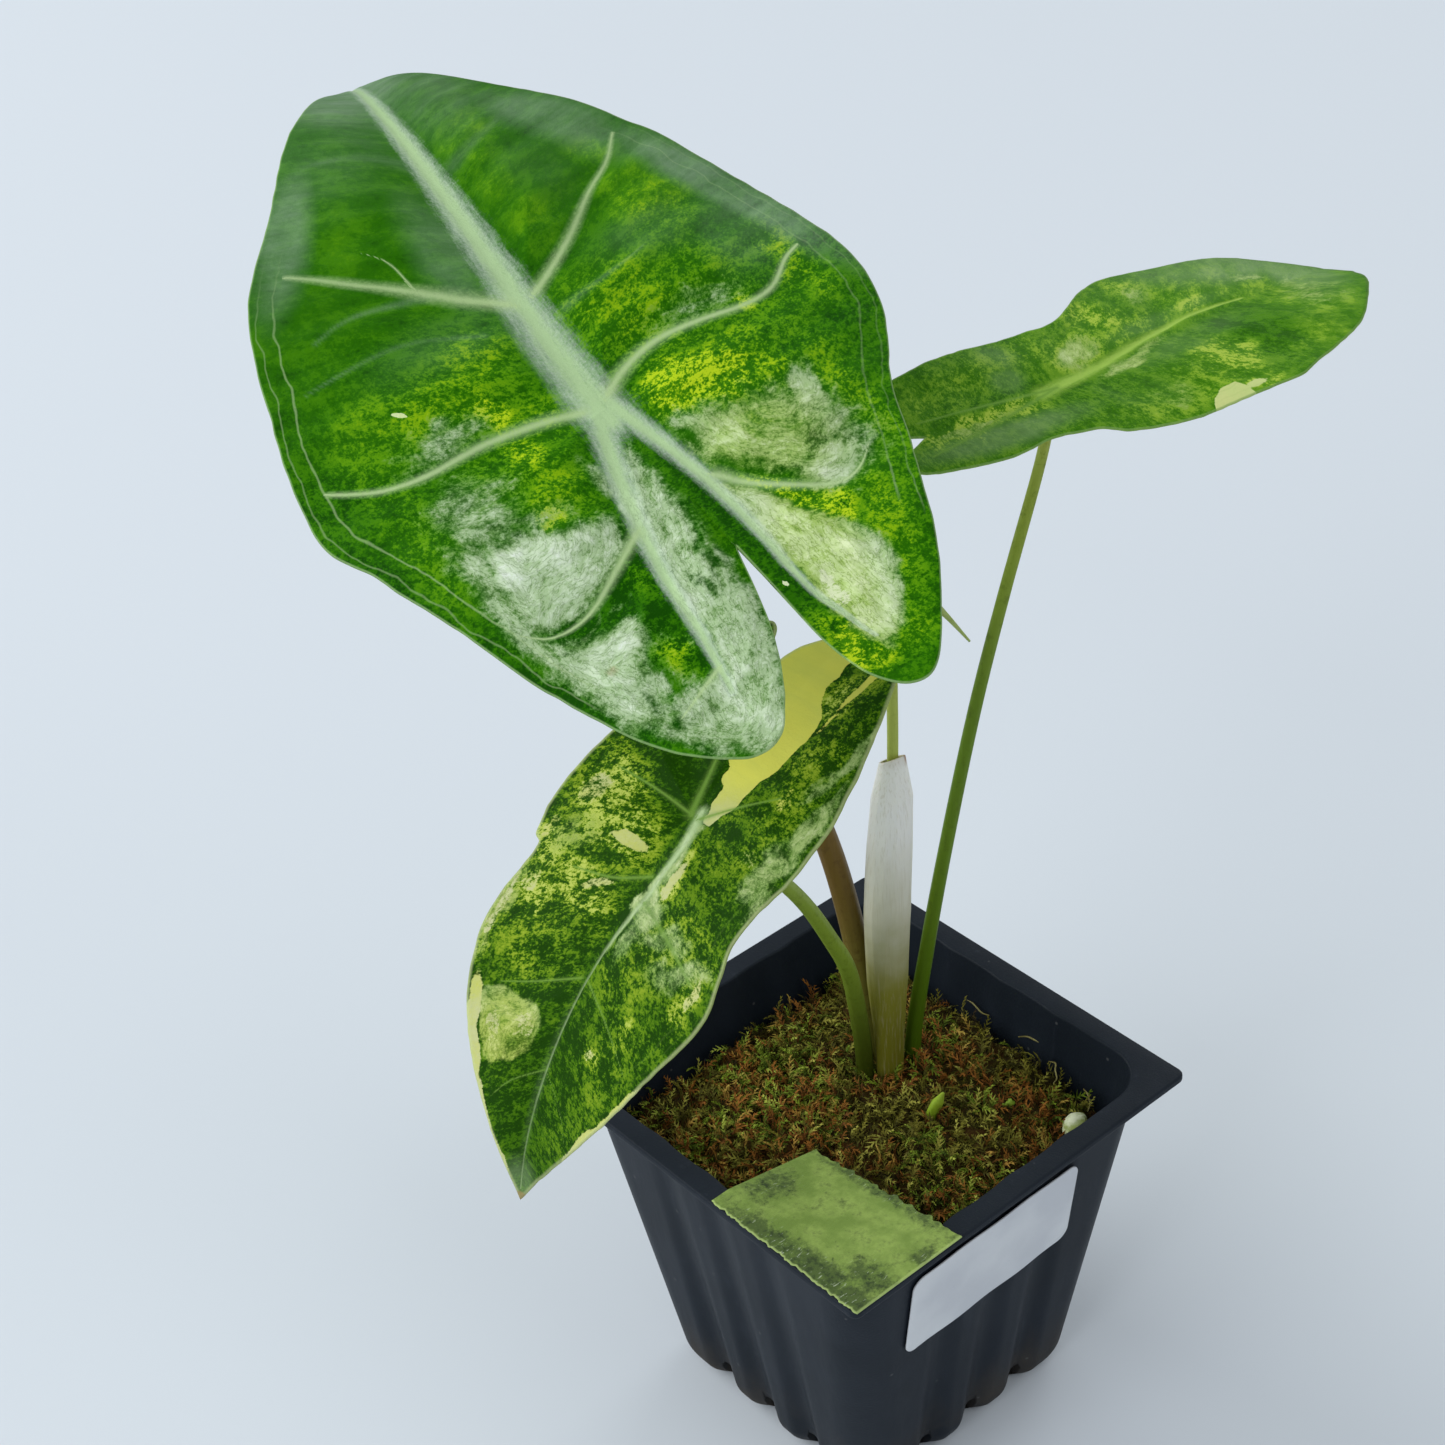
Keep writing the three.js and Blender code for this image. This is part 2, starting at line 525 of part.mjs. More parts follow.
// Paper label: lies against the front wall's ribs, leaning with the wall's taper
function labelGeometry() {
  const shape = new THREE.Shape();
  const x = labelWidth / 2;
  const y = labelHeight / 2;
  shape.moveTo(-x + labelCorner, -y);
  shape.lineTo(x - labelCorner, -y);
  shape.absarc(x - labelCorner, -y + labelCorner, labelCorner, -Math.PI / 2, 0);
  shape.absarc(x - labelCorner, y - labelCorner, labelCorner, 0, Math.PI / 2);
  shape.absarc(-x + labelCorner, y - labelCorner, labelCorner, Math.PI / 2, Math.PI);
  shape.absarc(-x + labelCorner, -y + labelCorner, labelCorner, Math.PI, Math.PI * 1.5);
  const geometry = new THREE.ExtrudeGeometry(shape, {
    depth: labelThickness, bevelEnabled: false, curveSegments: 5,
  });
  const lean = Math.atan((wallHalfTop - wallHalfBottom) / potHeight);
  const middleZ = labelTopZ - (labelHeight / 2) * Math.cos(lean);
  const wallHalf = THREE.MathUtils.lerp(wallHalfBottom, wallHalfTop, middleZ / potHeight);
  geometry.rotateX(Math.PI / 2 + lean).translate(labelMiddleX, -wallHalf - gap, middleZ);
  return geometry;
}

function pebbleGeometry() {
  const [x, y] = pebblePlace;
  const geometry = new THREE.SphereGeometry(pebbleRadius, 10, 6);
  geometry.scale(1.15, 0.9, 0.75);
  geometry.rotateZ(0.4).translate(x, y, mossHeight(x, y) + pebbleRadius * 0.84);
  return geometry;
}

// Small fallen leaf bit that stands on the moss
function leafBitGeometry() {
  const [left, front] = leafBitPlace;
  const path = [[0, 0, 0], [0.3, 0.4, 1.2], [1, 0.9, 3.6], [2, 1.2, 6]];
  const lowest = mossHeight(left, front) + 0.9;
  const places = path.map(([x, y, z]) => [left + x, front + y, lowest + z]);
  return stalk(places, [0.6, 1.2, 1.2, 0.4], { sides: 8, steps: 8, squeeze: 0.6 });
}

const plant = new THREE.Group();

function addPiece(name, geometry, color, roughness = 0.7) {
  const material = new THREE.MeshStandardMaterial({ color, roughness, metalness: 0 });
  const piece = new THREE.Mesh(geometry, material);
  piece.name = name;
  plant.add(piece);
}

addPiece('pot', potGeometry(), '#2b3038', 0.45);
addPiece('substrate', substrateGeometry(), '#3a2a1c', 0.95);
addPiece('corm', cormGeometry(), '#6b4a2c', 0.85);
addPiece('moss', mossGeometry(), '#6a6a1e', 0.95);
addPiece('pebble', pebbleGeometry(), '#c9d0a0', 0.8);
addPiece('leaf_bit', leafBitGeometry(), '#9dbb3a', 0.6);
addPiece('sheath', sheathGeometry(), sheath.color, 0.5);
addPiece('new_leaf', stalk(newLeaf.path, newLeaf.radii, { sides: 8, steps: 24 }), newLeaf.color, 0.5);
for (const [name, stem] of Object.entries(stalks)) {
  addPiece(name, stalk(stem.path, stem.radii, { sides: 8, steps: 18 }), stem.color, 0.5);
}
for (const leaf of [leafOne, leafTwo, leafThree]) addPiece(leaf.name, bladeGeometry(leaf), leaf.color, 0.35);
addPiece('tape', tapeGeometry(), '#9dbf5a', 0.8);
addPiece('label', labelGeometry(), '#d8d8da', 0.6);

export default plant;
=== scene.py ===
import json
import math
import bpy
import numpy as np
from mathutils import Matrix, Vector

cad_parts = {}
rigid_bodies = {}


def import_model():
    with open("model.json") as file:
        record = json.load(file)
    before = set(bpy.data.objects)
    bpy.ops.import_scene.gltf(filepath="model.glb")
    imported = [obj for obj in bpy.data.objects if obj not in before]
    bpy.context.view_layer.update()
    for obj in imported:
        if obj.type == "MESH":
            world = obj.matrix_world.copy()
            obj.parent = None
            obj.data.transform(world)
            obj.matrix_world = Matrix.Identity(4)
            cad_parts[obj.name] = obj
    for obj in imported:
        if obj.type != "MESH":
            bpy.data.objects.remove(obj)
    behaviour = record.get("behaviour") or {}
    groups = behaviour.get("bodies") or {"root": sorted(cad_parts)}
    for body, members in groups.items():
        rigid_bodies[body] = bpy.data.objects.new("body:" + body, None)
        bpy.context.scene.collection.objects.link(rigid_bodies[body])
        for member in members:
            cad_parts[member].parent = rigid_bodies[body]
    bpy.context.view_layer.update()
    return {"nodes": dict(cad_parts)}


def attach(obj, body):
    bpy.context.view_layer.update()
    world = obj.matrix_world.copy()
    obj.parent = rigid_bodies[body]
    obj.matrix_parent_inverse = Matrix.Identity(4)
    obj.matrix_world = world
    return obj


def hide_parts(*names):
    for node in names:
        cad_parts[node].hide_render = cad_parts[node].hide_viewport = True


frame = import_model()
mm = 0.001
print("frame loaded:", len(frame["nodes"]), "nodes")


# Nodes: sums on sockets, and one method that adds any other node

class Wire:  # a node's output that takes part in sums
    def __init__(self, socket):
        self.socket = socket

    def maths(self, operation, *terms):
        tree = Tree(self.socket.id_data)
        return tree.add("ShaderNodeMath", {"operation": operation}, dict(enumerate(terms)))

    def __add__(self, other):
        return self.maths("ADD", self, other)

    def __radd__(self, other):
        return self.maths("ADD", other, self)

    def __sub__(self, other):
        return self.maths("SUBTRACT", self, other)

    def __rsub__(self, other):
        return self.maths("SUBTRACT", other, self)

    def __mul__(self, other):
        return self.maths("MULTIPLY", self, other)

    def __rmul__(self, other):
        return self.maths("MULTIPLY", other, self)

    def size(self):
        return self.maths("ABSOLUTE", self)

    def least(self, other):
        return self.maths("MINIMUM", self, other)

    def most(self, other):
        return self.maths("MAXIMUM", self, other)

    def step(self, low, high):  # 0 at low, 1 at high, smooth between them
        return Tree(self.socket.id_data).add(
            "ShaderNodeMapRange", {"interpolation_type": "SMOOTHSTEP"},
            {"Value": self, "From Min": low, "From Max": high})

    def also(self, output):  # another output of the same node
        return Wire(self.socket.node.outputs[output])


class Tree:
    def __init__(self, tree):
        self.tree = tree

    def add(self, kind, settings=None, inputs=None, output=0):
        node = self.tree.nodes.new(kind)
        for key, value in (settings or {}).items():
            setattr(node, key, value)
        for key, value in (inputs or {}).items():
            if isinstance(value, Wire):
                self.tree.links.new(value.socket, node.inputs[key])
            else:
                node.inputs[key].default_value = value
        return Wire(node.outputs[output]) if node.outputs else None

    def blend(self, factor, first, second):
        return self.add("ShaderNodeMix", {"data_type": "RGBA"}, {0: factor, 6: first, 7: second}, 2)

    def noise(self, place, scale, detail, roughness, warp=0.0):
        return self.add("ShaderNodeTexNoise", {}, {
            "Vector": place, "Scale": scale, "Detail": detail, "Roughness": roughness, "Distortion": warp})

    def stretch(self, place, scale):
        return self.add("ShaderNodeMapping", {}, {"Vector": place, "Scale": scale})

    def place(self):  # of the shaded point on its piece, in metres
        return self.add("ShaderNodeTexCoord", {}, {}, "Object")

    def attribute(self, name, output="Fac"):
        return self.add("ShaderNodeAttribute", {"attribute_name": name}, {}, output)

    def split(self, vector):
        x = self.add("ShaderNodeSeparateXYZ", {}, {0: vector})
        return x, x.also(1), x.also(2)

    def join(self, x, y, z=0.0):
        return self.add("ShaderNodeCombineXYZ", {}, {0: x, 1: y, 2: z})

    def bump(self, height, depth, strength):  # depth in metres
        return self.add("ShaderNodeBump", {}, {"Height": height, "Distance": depth, "Strength": strength})


def tint(*screen):  # red, green and blue on the screen, 0 to 255, as the shader wants them
    return tuple(((c / 255 + 0.055) / 1.055) ** 2.4 if c > 10 else c / 3294.6 for c in screen) + (1.0,)


def finish(name, paint):  # material whose sockets are what paint(tree) returns
    material = bpy.data.materials.new(name)
    material.use_nodes = True
    tree = Tree(material.node_tree)
    shader = material.node_tree.nodes["Principled BSDF"]
    for key, value in paint(tree).items():
        if isinstance(value, Wire):
            material.node_tree.links.new(value.socket, shader.inputs[key])
        else:
            shader.inputs[key].default_value = value
    return material


# Shapes

def addMesh(name, points, faces, material, attributes=None, smooth=True):  # points in millimetres
    mesh = bpy.data.meshes.new(name)
    mesh.from_pydata(np.asarray(points) * mm, [], faces)
    mesh.polygons.foreach_set("use_smooth", [smooth] * len(mesh.polygons))
    for key, values in (attributes or {}).items():
        values = np.asarray(values, np.float32)
        if values.ndim == 1:
            mesh.attributes.new(key, "FLOAT", "POINT").data.foreach_set("value", values)
        else:
            mesh.attributes.new(key, "FLOAT_VECTOR", "POINT").data.foreach_set("vector", values.ravel())
    mesh.materials.append(material)
    piece = bpy.data.objects.new(name, mesh)
    bpy.context.scene.collection.objects.link(piece)
    return piece


def bake(piece):  # what its modifiers make becomes its mesh
    done = bpy.data.meshes.new_from_object(piece.evaluated_get(bpy.context.evaluated_depsgraph_get()))
    piece.modifiers.clear()
    piece.data = done


def settle(piece, node):  # it takes the place of the part's own solid
    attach(piece, "root")
    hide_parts(node)


def gridFaces(rows, columns, closed=True, start=0, flip=False):  # rows of points, joined into quads
    across = columns if closed else columns - 1
    row, column = np.meshgrid(np.arange(rows - 1), np.arange(across), indexing="ij")
    after = (column + 1) % columns
    low, high = row * columns, (row + 1) * columns
    quads = np.stack([low + column, low + after, high + after, high + column], axis=-1).reshape(-1, 4) + start
    return (quads[:, ::-1] if flip else quads).tolist()


def capFaces(ring, hub, flip=False):
    after = ring[1:] + ring[:1]
    return [(b, a, hub) if flip else (a, b, hub) for a, b in zip(ring, after)]


def splineThrough(points, count, centripetal=True):  # Catmull-Rom curve, evenly spaced in its parameter
    given = np.array(points, float)
    knots = np.vstack([2 * given[0] - given[1], given, 2 * given[-1] - given[-2]])
    spans = len(given) - 1
    places = np.linspace(0, spans, count)
    index = np.minimum(places.astype(int), spans - 1)
    t = (places - index)[:, None]
    p0, p1, p2, p3 = (knots[index + k] for k in range(4))
    gaps = [np.linalg.norm(b - a, axis=1, keepdims=True) ** 0.5 if centripetal else np.ones((count, 1))
            for a, b in ((p0, p1), (p1, p2), (p2, p3))]
    start = ((p1 - p0) / gaps[0] - (p2 - p0) / (gaps[0] + gaps[1]) + (p2 - p1) / gaps[1]) * gaps[1]
    end = ((p2 - p1) / gaps[1] - (p3 - p1) / (gaps[1] + gaps[2]) + (p3 - p2) / gaps[2]) * gaps[1]
    return (p1 * (2 * t ** 3 - 3 * t ** 2 + 1) + start * (t ** 3 - 2 * t ** 2 + t)
            + p2 * (3 * t ** 2 - 2 * t ** 3) + end * (t ** 3 - t ** 2))


def evenPoints(line, count, endpoint=True):  # the same line, cut into equal lengths
    lengths = np.concatenate([[0], np.cumsum(np.linalg.norm(np.diff(line, axis=0), axis=1))])
    wanted = np.linspace(0, lengths[-1], count, endpoint=endpoint)
    return np.stack([np.interp(wanted, lengths, line[:, axis]) for axis in range(line.shape[1])], axis=1)


def evenLine(points, count):  # smooth line through the points, cut into equal lengths
    return evenPoints(splineThrough(points, 40 * len(points), centripetal=False), count)


def softNoise(x, y, seed):  # smooth random heights from -1 to 1, one hill for each unit
    table = np.random.default_rng(seed).uniform(-1, 1, (64, 64))
    x0, y0 = np.floor(x).astype(int), np.floor(y).astype(int)
    fx, fy = x - x0, y - y0
    fx, fy = fx * fx * (3 - 2 * fx), fy * fy * (3 - 2 * fy)
    pick = lambda i, j: table[(x0 + i) % 64, (y0 + j) % 64]
    low = pick(0, 0) * (1 - fx) + pick(1, 0) * fx
    high = pick(0, 1) * (1 - fx) + pick(1, 1) * fx
    return low * (1 - fy) + high * fy


# Camera, light and stage

cameraView = {  # metres, degrees, millimetres
    "eye": (-0.2312, -0.2529, 0.3834), "azimuth": 230.92, "elevation": 34.65, "roll": -4.1, "lens": 65,
    "sensor": 36,
}
softboxes = {  # place, aim, width and height in metres, watts, colour
    "backWindow": ((-1.35, 2.05, 1.60), (0, 0, 0.10), 2.6, 1.7, 50.0, (1.0, 1.0, 0.99)),
    "leftWindow": ((-2.40, -0.10, 1.40), (0, 0, 0.12), 1.7, 1.7, 28.0, (0.97, 0.98, 1.0)),
    "frontFill": ((0.80, -2.30, 1.90), (0, 0, 0.1), 1.9, 1.5, 14.0, (1.0, 1.0, 1.0)),
    "rightGlow": ((2.60, 0.90, 1.50), (1.0, 0.1, 0), 1.6, 1.2, 15.0, (1.0, 1.0, 1.0)),
}
stage = {
    "floorColour": tint(206, 214, 221), "floorHalf": 3000, "worldColour": (0.86, 0.89, 0.93, 1.0),
    "worldStrength": 0.57,
}


def placeCamera():
    camera = bpy.data.cameras.new("camera")
    camera.lens = cameraView["lens"]
    camera.sensor_width = cameraView["sensor"]
    holder = bpy.data.objects.new("camera", camera)
    bpy.context.scene.collection.objects.link(holder)
    turn = Matrix.Rotation(math.radians(cameraView["azimuth"] + 90), 4, "Z")
    tilt = Matrix.Rotation(math.radians(90 - cameraView["elevation"]), 4, "X")
    roll = Matrix.Rotation(math.radians(cameraView["roll"]), 4, "Z")
    holder.matrix_world = Matrix.Translation(cameraView["eye"]) @ turn @ tilt @ roll
    bpy.context.scene.camera = holder


def placeLights():
    for name, (place, aim, width, height, watts, colour) in softboxes.items():
        light = bpy.data.lights.new(name, "AREA")
        light.shape = "RECTANGLE"
        light.size = width
        light.size_y = height
        light.energy = watts
        light.color = colour
        holder = bpy.data.objects.new(name, light)
        bpy.context.scene.collection.objects.link(holder)
        holder.location = place
        holder.rotation_euler = (Vector(aim) - Vector(place)).to_track_quat("-Z", "Y").to_euler()
    world = bpy.data.worlds.new("paleRoom")
    world.use_nodes = True
    ground = world.node_tree.nodes["Background"]
    ground.inputs["Color"].default_value = stage["worldColour"]
    ground.inputs["Strength"].default_value = stage["worldStrength"]
    bpy.context.scene.world = world


def layFloor():
    paint = finish("paleFloor", lambda tree: {"Base Color": stage["floorColour"], "Roughness": 0.85})
    half = stage["floorHalf"]
    corners = [(-half, -half, 0), (half, -half, 0), (half, half, 0), (-half, half, 0)]
    addMesh("floor", corners, [(0, 1, 2, 3)], paint)


placeCamera()
placeLights()
layFloor()
bpy.context.scene.view_settings.view_transform = "Standard"
print("camera, lights and floor placed")


# Leaves: u runs from the petiole to the tip, v to the right, both in millimetres on the flat blade.
# Patches are soft ovals (u, v, half length, half width, turn, strength). Fields are outlines with the width
# of their soft edge and a strength. Veins, costae and sheen bands are lines with their half width at both
# ends.

leafOne = {
    "name": "bladeOne", "node": "leaf_1_blade", "slot": "leaf_green", "junction": (-30, 16, 208),
    "heading": 82.5, "slope": 21.5, "roll": 10.5, "droop": -0.05, "droopGrowth": 0.0045, "lobeDroop": 0,
    "twist": -0.11, "bendLeft": 0.38, "bendRight": 0.16, "sway": 0.09, "fold": 1, "thickness": 0.75,
    "solid": 0.9, "rib": 1.3, "puff": 1.5, "veinWidth": 6, "waveHeight": 0.5, "waves": 9, "columns": 720,
    "rings": 88, "underRings": 24, "crinkle": 0.16, "corrugation": 0.16, "marginVeins": (1.3, 3.9),
    "marginVeinStrength": 0.36, "rimWidth": 0.28, "ribFade": (58.0, 108.0, 0.34), "laneStart": 0.22,
    "sinus": (5, 9), "contrast": (0.2, 0.36), "clouds": 0.42, "blur": (6.0, 44.0),
    "right": [(116, 0), (109, 4.5), (99, 10), (87, 16), (74.5, 22), (62, 28.5), (47, 36), (30.5, 41.8),
              (14, 46.2), (3.5, 46.8), (-6.5, 44), (-18, 37.3), (-31.5, 31.8), (-46, 25.6), (-56.5, 19.2),
              (-62.5, 14), (-63, 9.8), (-58.5, 5.7), (-51, 3.5), (-40, 2.7), (-31.3, 2.1)],
    "left": [(-31.3, 2.1), (-40, 0.3), (-47.5, -1.9), (-55, -5.6), (-59.8, -9.6), (-59.6, -14.6),
             (-54, -21.5), (-45.5, -26.4), (-31.5, -32.2), (-18, -37), (-5.5, -41.7), (3, -45.1),
             (12, -44.9), (27, -42), (42, -38), (51, -33.5), (60, -27.4), (70, -21.8), (80, -16.4),
             (90, -11), (101, -6.2), (116, 0)],
    "puffVeins": [[(0, 0), (116, 0)], [(1, 1), (6.5, 10), (7, 22), (6.5, 34), (11.5, 41)],
                  [(1, -1), (3, -10), (4, -24), (11.5, -41)], [(24.5, 1), (33.5, 14.5), (52.5, 30)],
                  [(24.5, -1), (31.5, -12), (48.5, -30)], [(0, 0), (-16, 5), (-33, 7.8), (-58, 11)],
                  [(0, 0), (-16, -6), (-32, -9.8), (-53, -12.5)], [(-22.5, 8.3), (-29.5, 19), (-25.5, 29)],
                  [(-23, -7), (-29, -15.5), (-29.5, -21)]],
    "costae": [([(-2, -0.9), (10, -1.2), (30, -1), (60, -0.7), (114, 0)], 2.2, 0.4),
               ([(2, -1.2), (-8, -4.2), (-20, -7.0), (-30, -8.6), (-40, -9.4), (-50, -10.8)], 1.3, 0.4),
               ([(1, 0.4), (-8, 2.8), (-18, 4.9), (-30, 6.2), (-42, 6.8), (-54, 10)], 1.1, 0.2)],
    "veins": [([(1, -3.5), (2.5, -9), (4, -18), (4.5, -27), (6, -33), (8.5, -37.5),
                (11, -40.8)], 0.5, 0.18),
              ([(24.5, -3), (30, -9.5), (36, -16), (42, -22), (48.5, -29)], 0.7, 0.18),
              ([(34, -13.5), (40, -14.5), (45, -17.5)], 0.1, 0.04),
              ([(2, 1.5), (4, 4.5), (6, 9), (7, 14), (6.8, 20), (6, 27), (7, 33), (11, 38),
                (12.6, 41)], 0.55, 0.2),
              ([(24.5, 2), (28, 7), (33, 13), (40, 20), (45, 25.5), (51, 29.5)], 0.5, 0.16),
              ([(-21, -8), (-25, -14), (-28, -20), (-28.3, -26), (-25, -30.4)], 0.45, 0.04),
              ([(-19, 6.5), (-24, 11), (-28.5, 17.5), (-30, 21), (-29, 24.5), (-25.5, 28.5)], 0.5, 0.04),
              ([(-46, -10.5), (-48, -15), (-50, -19.5)], 0.3, 0.04)],
    "lime": [(-12.5, -16.8, 1.6, 1.6, 0, 1.0), (-9, -14, 5, 5, 0, 0.45), (-1, -14.5, 4, 3, 0, 0.7),
             (7.5, -15, 3, 2, 0, 0.8), (3, -11, 5, 5, 0, 0.36), (-20, -13, 4, 3, 0, 0.34),
             (-4, -20, 6, 5, 0, 0.34), (12, -20, 7, 9, 0, 0.46), (16, -30, 5, 6, 0, 0.34),
             (8, -34, 9, 4, 0, 0.24), (-5, -33, 10, 4, 0, 0.3), (17, -13, 5, 6, 0, 0.46),
             (52, -19, 8, 5, 0, 0.18), (-3, 12, 5, 6, 0, 1.15), (0, 9, 2.4, 3, 0, 1.3),
             (-5, 17, 5, 5, 0, 0.9), (-14, 14, 6, 3, -50, 0.8), (-8, 22, 5, 5, 0, 0.6),
             (-1, 22, 6, 6, 0, 0.42), (1, 29, 6, 5, 0, 0.28), (6.5, 27.5, 2.4, 2, 0, 0.75),
             (7, 12, 4, 8, 0, 0.4), (16, 12, 8, 9, 0, 0.5), (14, 24, 8, 8, 0, 0.32),
             (32, 26, 8, 6, 0, 0.55), (34, 24, 7, 4, 0, 0.66), (48, 23.5, 3, 3, 0, 0.5),
             (40, 8, 8, 4, 0, 0.32), (50, 7, 9, 3.4, 0, 0.4), (63, 8, 8, 4, 0, 0.34),
             (10, 38.5, 9, 3, 0, 0.5), (-54, 6.8, 4.4, 2.6, 15, 1.3), (-42, 21, 13, 3.6, 20, 0.46),
             (-54, 14, 4, 4, 0, 0.42), (-20, 31, 9, 3, 0, 0.4), (-11, 30, 6, 4, 0, 0.38),
             (-41, -13.8, 3, 2, 0, 0.85), (-45, -8.4, 4, 1.4, 0, 0.4), (-28.6, -12, 3, 2.2, 0, 0.42),
             (-34, 28, 14, 3, 26, 0.2)],
    "limeFields": [([(-60, 8), (-56, 5), (-48, 3.4), (-45, 4.6), (-49, 8), (-54, 10),
                     (-58, 12.4)], 2.6, 0.72),
                   ([(-38, 17), (-33, 13.5), (-26, 10.5), (-21, 8.5), (-23, 12), (-28, 17), (-30, 20),
                     (-34, 20)], 2, 1.1)],
    # silver patches and fields: pale silvery variegation with a painted sheen of the lights on it
    "silverAndSheen": [(-17, -25.4, 3.4, 2.4, -20, 1.2), (-8, -26, 6, 6, 0, 0.52), (-2.5, -25, 3.4, 6, 0, 0.44),
               (7.4, -23, 3, 6, 0, 0.5), (-12.4, -21, 2.4, 6, 0, 0.44), (-14, 11.4, 4, 4, 0, 0.95),
               (-26.6, 21.6, 3.4, 5, 0, 0.96), (-14, 26, 4.6, 2.4, 20, 0.86), (-20, 16, 6, 2.2, -50, 0.72),
               (-11, 9, 5, 1.8, -20, 0.8), (-20, 24, 3, 4, 0, 0.7), (-30.5, -22, 3.4, 0.7, 62, 0.7),
               (-29, -16, 4, 0.6, 50, 0.55), (-43, -20, 3, 2, 0, 0.8), (-41, -14, 5, 3, 0, 0.42),
               (10, 22, 2.6, 8, 0, 0.36), (-43, 11, 8, 3.6, 8, 1.2), (-35, -18.6, 2.4, 2.4, 0, 1.1),
               (-18, -5.4, 9, 1.6, -14, 0.72), (-48, 14.6, 4, 2, 10, 0.9)],
    "silverAndSheenFields": [([(-27.5, -26), (-24.5, -29), (-21, -29), (-18, -28), (-14, -28), (-12.5, -24),
                       (-13.5, -19), (-16, -14), (-18, -10), (-22, -9.5), (-24, -12), (-26.5, -17),
                       (-28, -21)], 5.0, 1.0),
                     ([(-48, -25), (-40, -27.5), (-33, -29.5), (-29, -28), (-31, -22), (-33.5, -16),
                       (-36.5, -15.5), (-40, -18), (-44, -20), (-50, -19)], 6.0, 0.96),
                     ([(-58, -15), (-52, -20.6), (-45, -24.6), (-36, -28.4), (-28, -30.6), (-21, -31.4),
                       (-10, -31), (-12, -27.5), (-22, -28.5), (-30, -27.5), (-38, -25.5), (-46, -22),
                       (-52, -17)], 3.0, 0.8),
                     ([(-61, -12), (-57, -17), (-52, -20), (-47, -19), (-46, -13), (-46, -8), (-56, -6),
                       (-61, -8)], 4.0, 0.86),
                     ([(-60, -10), (-52, -11), (-42, -10), (-32, -9), (-22, -7.5), (-10, -4), (-8, -1),
                       (-22, -0.6), (-38, -0.2), (-48, -1.2), (-54, -4), (-59, -7)], 3.4, 0.78),
                     ([(-55.5, 10.5), (-51, 8), (-43, 7), (-36, 6.4), (-28, 6.6), (-20, 5.6), (-23, 9),
                       (-28, 11.5), (-32, 13), (-35, 15), (-38, 17.5), (-42, 19), (-46, 18.6), (-50, 17),
                       (-54, 14)], 3.2, 1.12),
                     ([(-31, 21), (-27, 16), (-22, 12), (-18, 8), (-12, 5.5), (-6, 6), (-8, 11), (-9, 18),
                       (-12, 25), (-16, 29), (-22, 30), (-27, 29), (-30, 25)], 7.0, 0.6)],
    "cream": [(-44, 9.6, 5, 1.4, 4, 0.58), (14.5, -26.2, 1.0, 0.24, -62, 1.4),
              (-40, 4.1, 0.5, 0.26, -40, 1.4)],
    "warm": [(-40, 11, 20, 6, 8, 0.9), (-18, 15, 9, 10, 0, 0.8)],
    # deep patches and fields: darker green tissue, with painted shade in folds and hollows
    "deepGreenAndShade": [(-33, 18, 2, 1.2, 0, 1.0), (-36, -31.2, 13, 1.2, -21, 1.1), (-12, -39, 14, 1.0, -19, 0.6),
             (-34, -4.2, 3.2, 0.6, -18, 0.9), (-30, -1.6, 4, 0.6, 10, 0.9), (-47, -22.4, 4.4, 0.8, 28, 0.5),
             (-54, -15.6, 2.6, 0.8, 60, 0.4), (-50, -16.6, 0.8, 3, 20, 0.5), (-42, 12, 2, 0.8, 30, 0.35),
             (-22, 21, 4, 1.6, 50, 0.3)],
    "deepGreenAndShadeFields": [([(-30.6, -26), (-28.8, -25.5), (-28, -21), (-26.5, -16), (-24, -11.5), (-21, -9),
                     (-26, -9.5), (-32, -10), (-35, -10.5), (-34, -13), (-31.5, -15.5), (-30, -18.5),
                     (-30.4, -22)], 5.0, 1.0),
                   ([(-45, -12), (-43.5, -16), (-40, -17), (-37, -15), (-38, -12.5), (-41, -11),
                     (-43.5, -11)], 4.0, 0.9),
                   ([(-44, 3), (-36, 3.2), (-20, 2), (-6, 1.2), (-8, 3), (-20, 4.8), (-32, 5.8), (-44, 6.2),
                     (-50, 7.2), (-52, 5)], 1.2, 0.55)],
    # haze patches and the bands below are painted sheen: pale streaks where the leaf reflects the lights
    "paintedSheen": [(96, -4, 20, 12, 0, 0.7), (70, -14, 14, 12, 0, 0.3), (56, -26, 14, 4, 30, 0.7),
             (38, -7, 14, 4, 0, 0.45), (22, -14, 5, 12, 0, 0.25), (30, 38, 24, 4, -20, 0.75),
             (60, 23, 16, 6, -28, 0.6), (20, 34, 10, 6, 0, 0.35), (82, 8, 18, 8, 0, 0.42),
             (26, 24, 5, 10, 0, 0.28), (50, 14, 8, 6, 0, 0.2), (15, -4.6, 14, 1.2, 0, 0.5)],
    "sheenBands": [([(59, -2), (65, -8), (68, -16), (67, -27)], 1.8, 0.9),
              ([(74, -2), (81, -7), (84, -13), (81, -19)], 2.2, 1.2),
              ([(30, -7), (33, -16), (34.4, -24), (33, -31)], 0.9, 0.3),
              ([(20, -9), (25, -20), (26, -36)], 0.7, 0.2), ([(56, 3), (62, 12), (70, 21)], 1.3, 0.3),
              ([(19, 4), (21, 13), (23, 20)], 0.8, 0.2)],
    "brown": [(-37.7, -22.5, 1.1, 1.1, 0, 0.62)],
    "greens": [tint(18, 70, 0), tint(38, 99, 0), tint(58, 119, 3), tint(86, 143, 8), tint(126, 170, 10),
               tint(176, 204, 30)],
    "pales": [tint(64, 112, 34), tint(116, 152, 88), tint(162, 188, 142), tint(194, 213, 180),
              tint(218, 228, 214)],
    "base": 0.24,
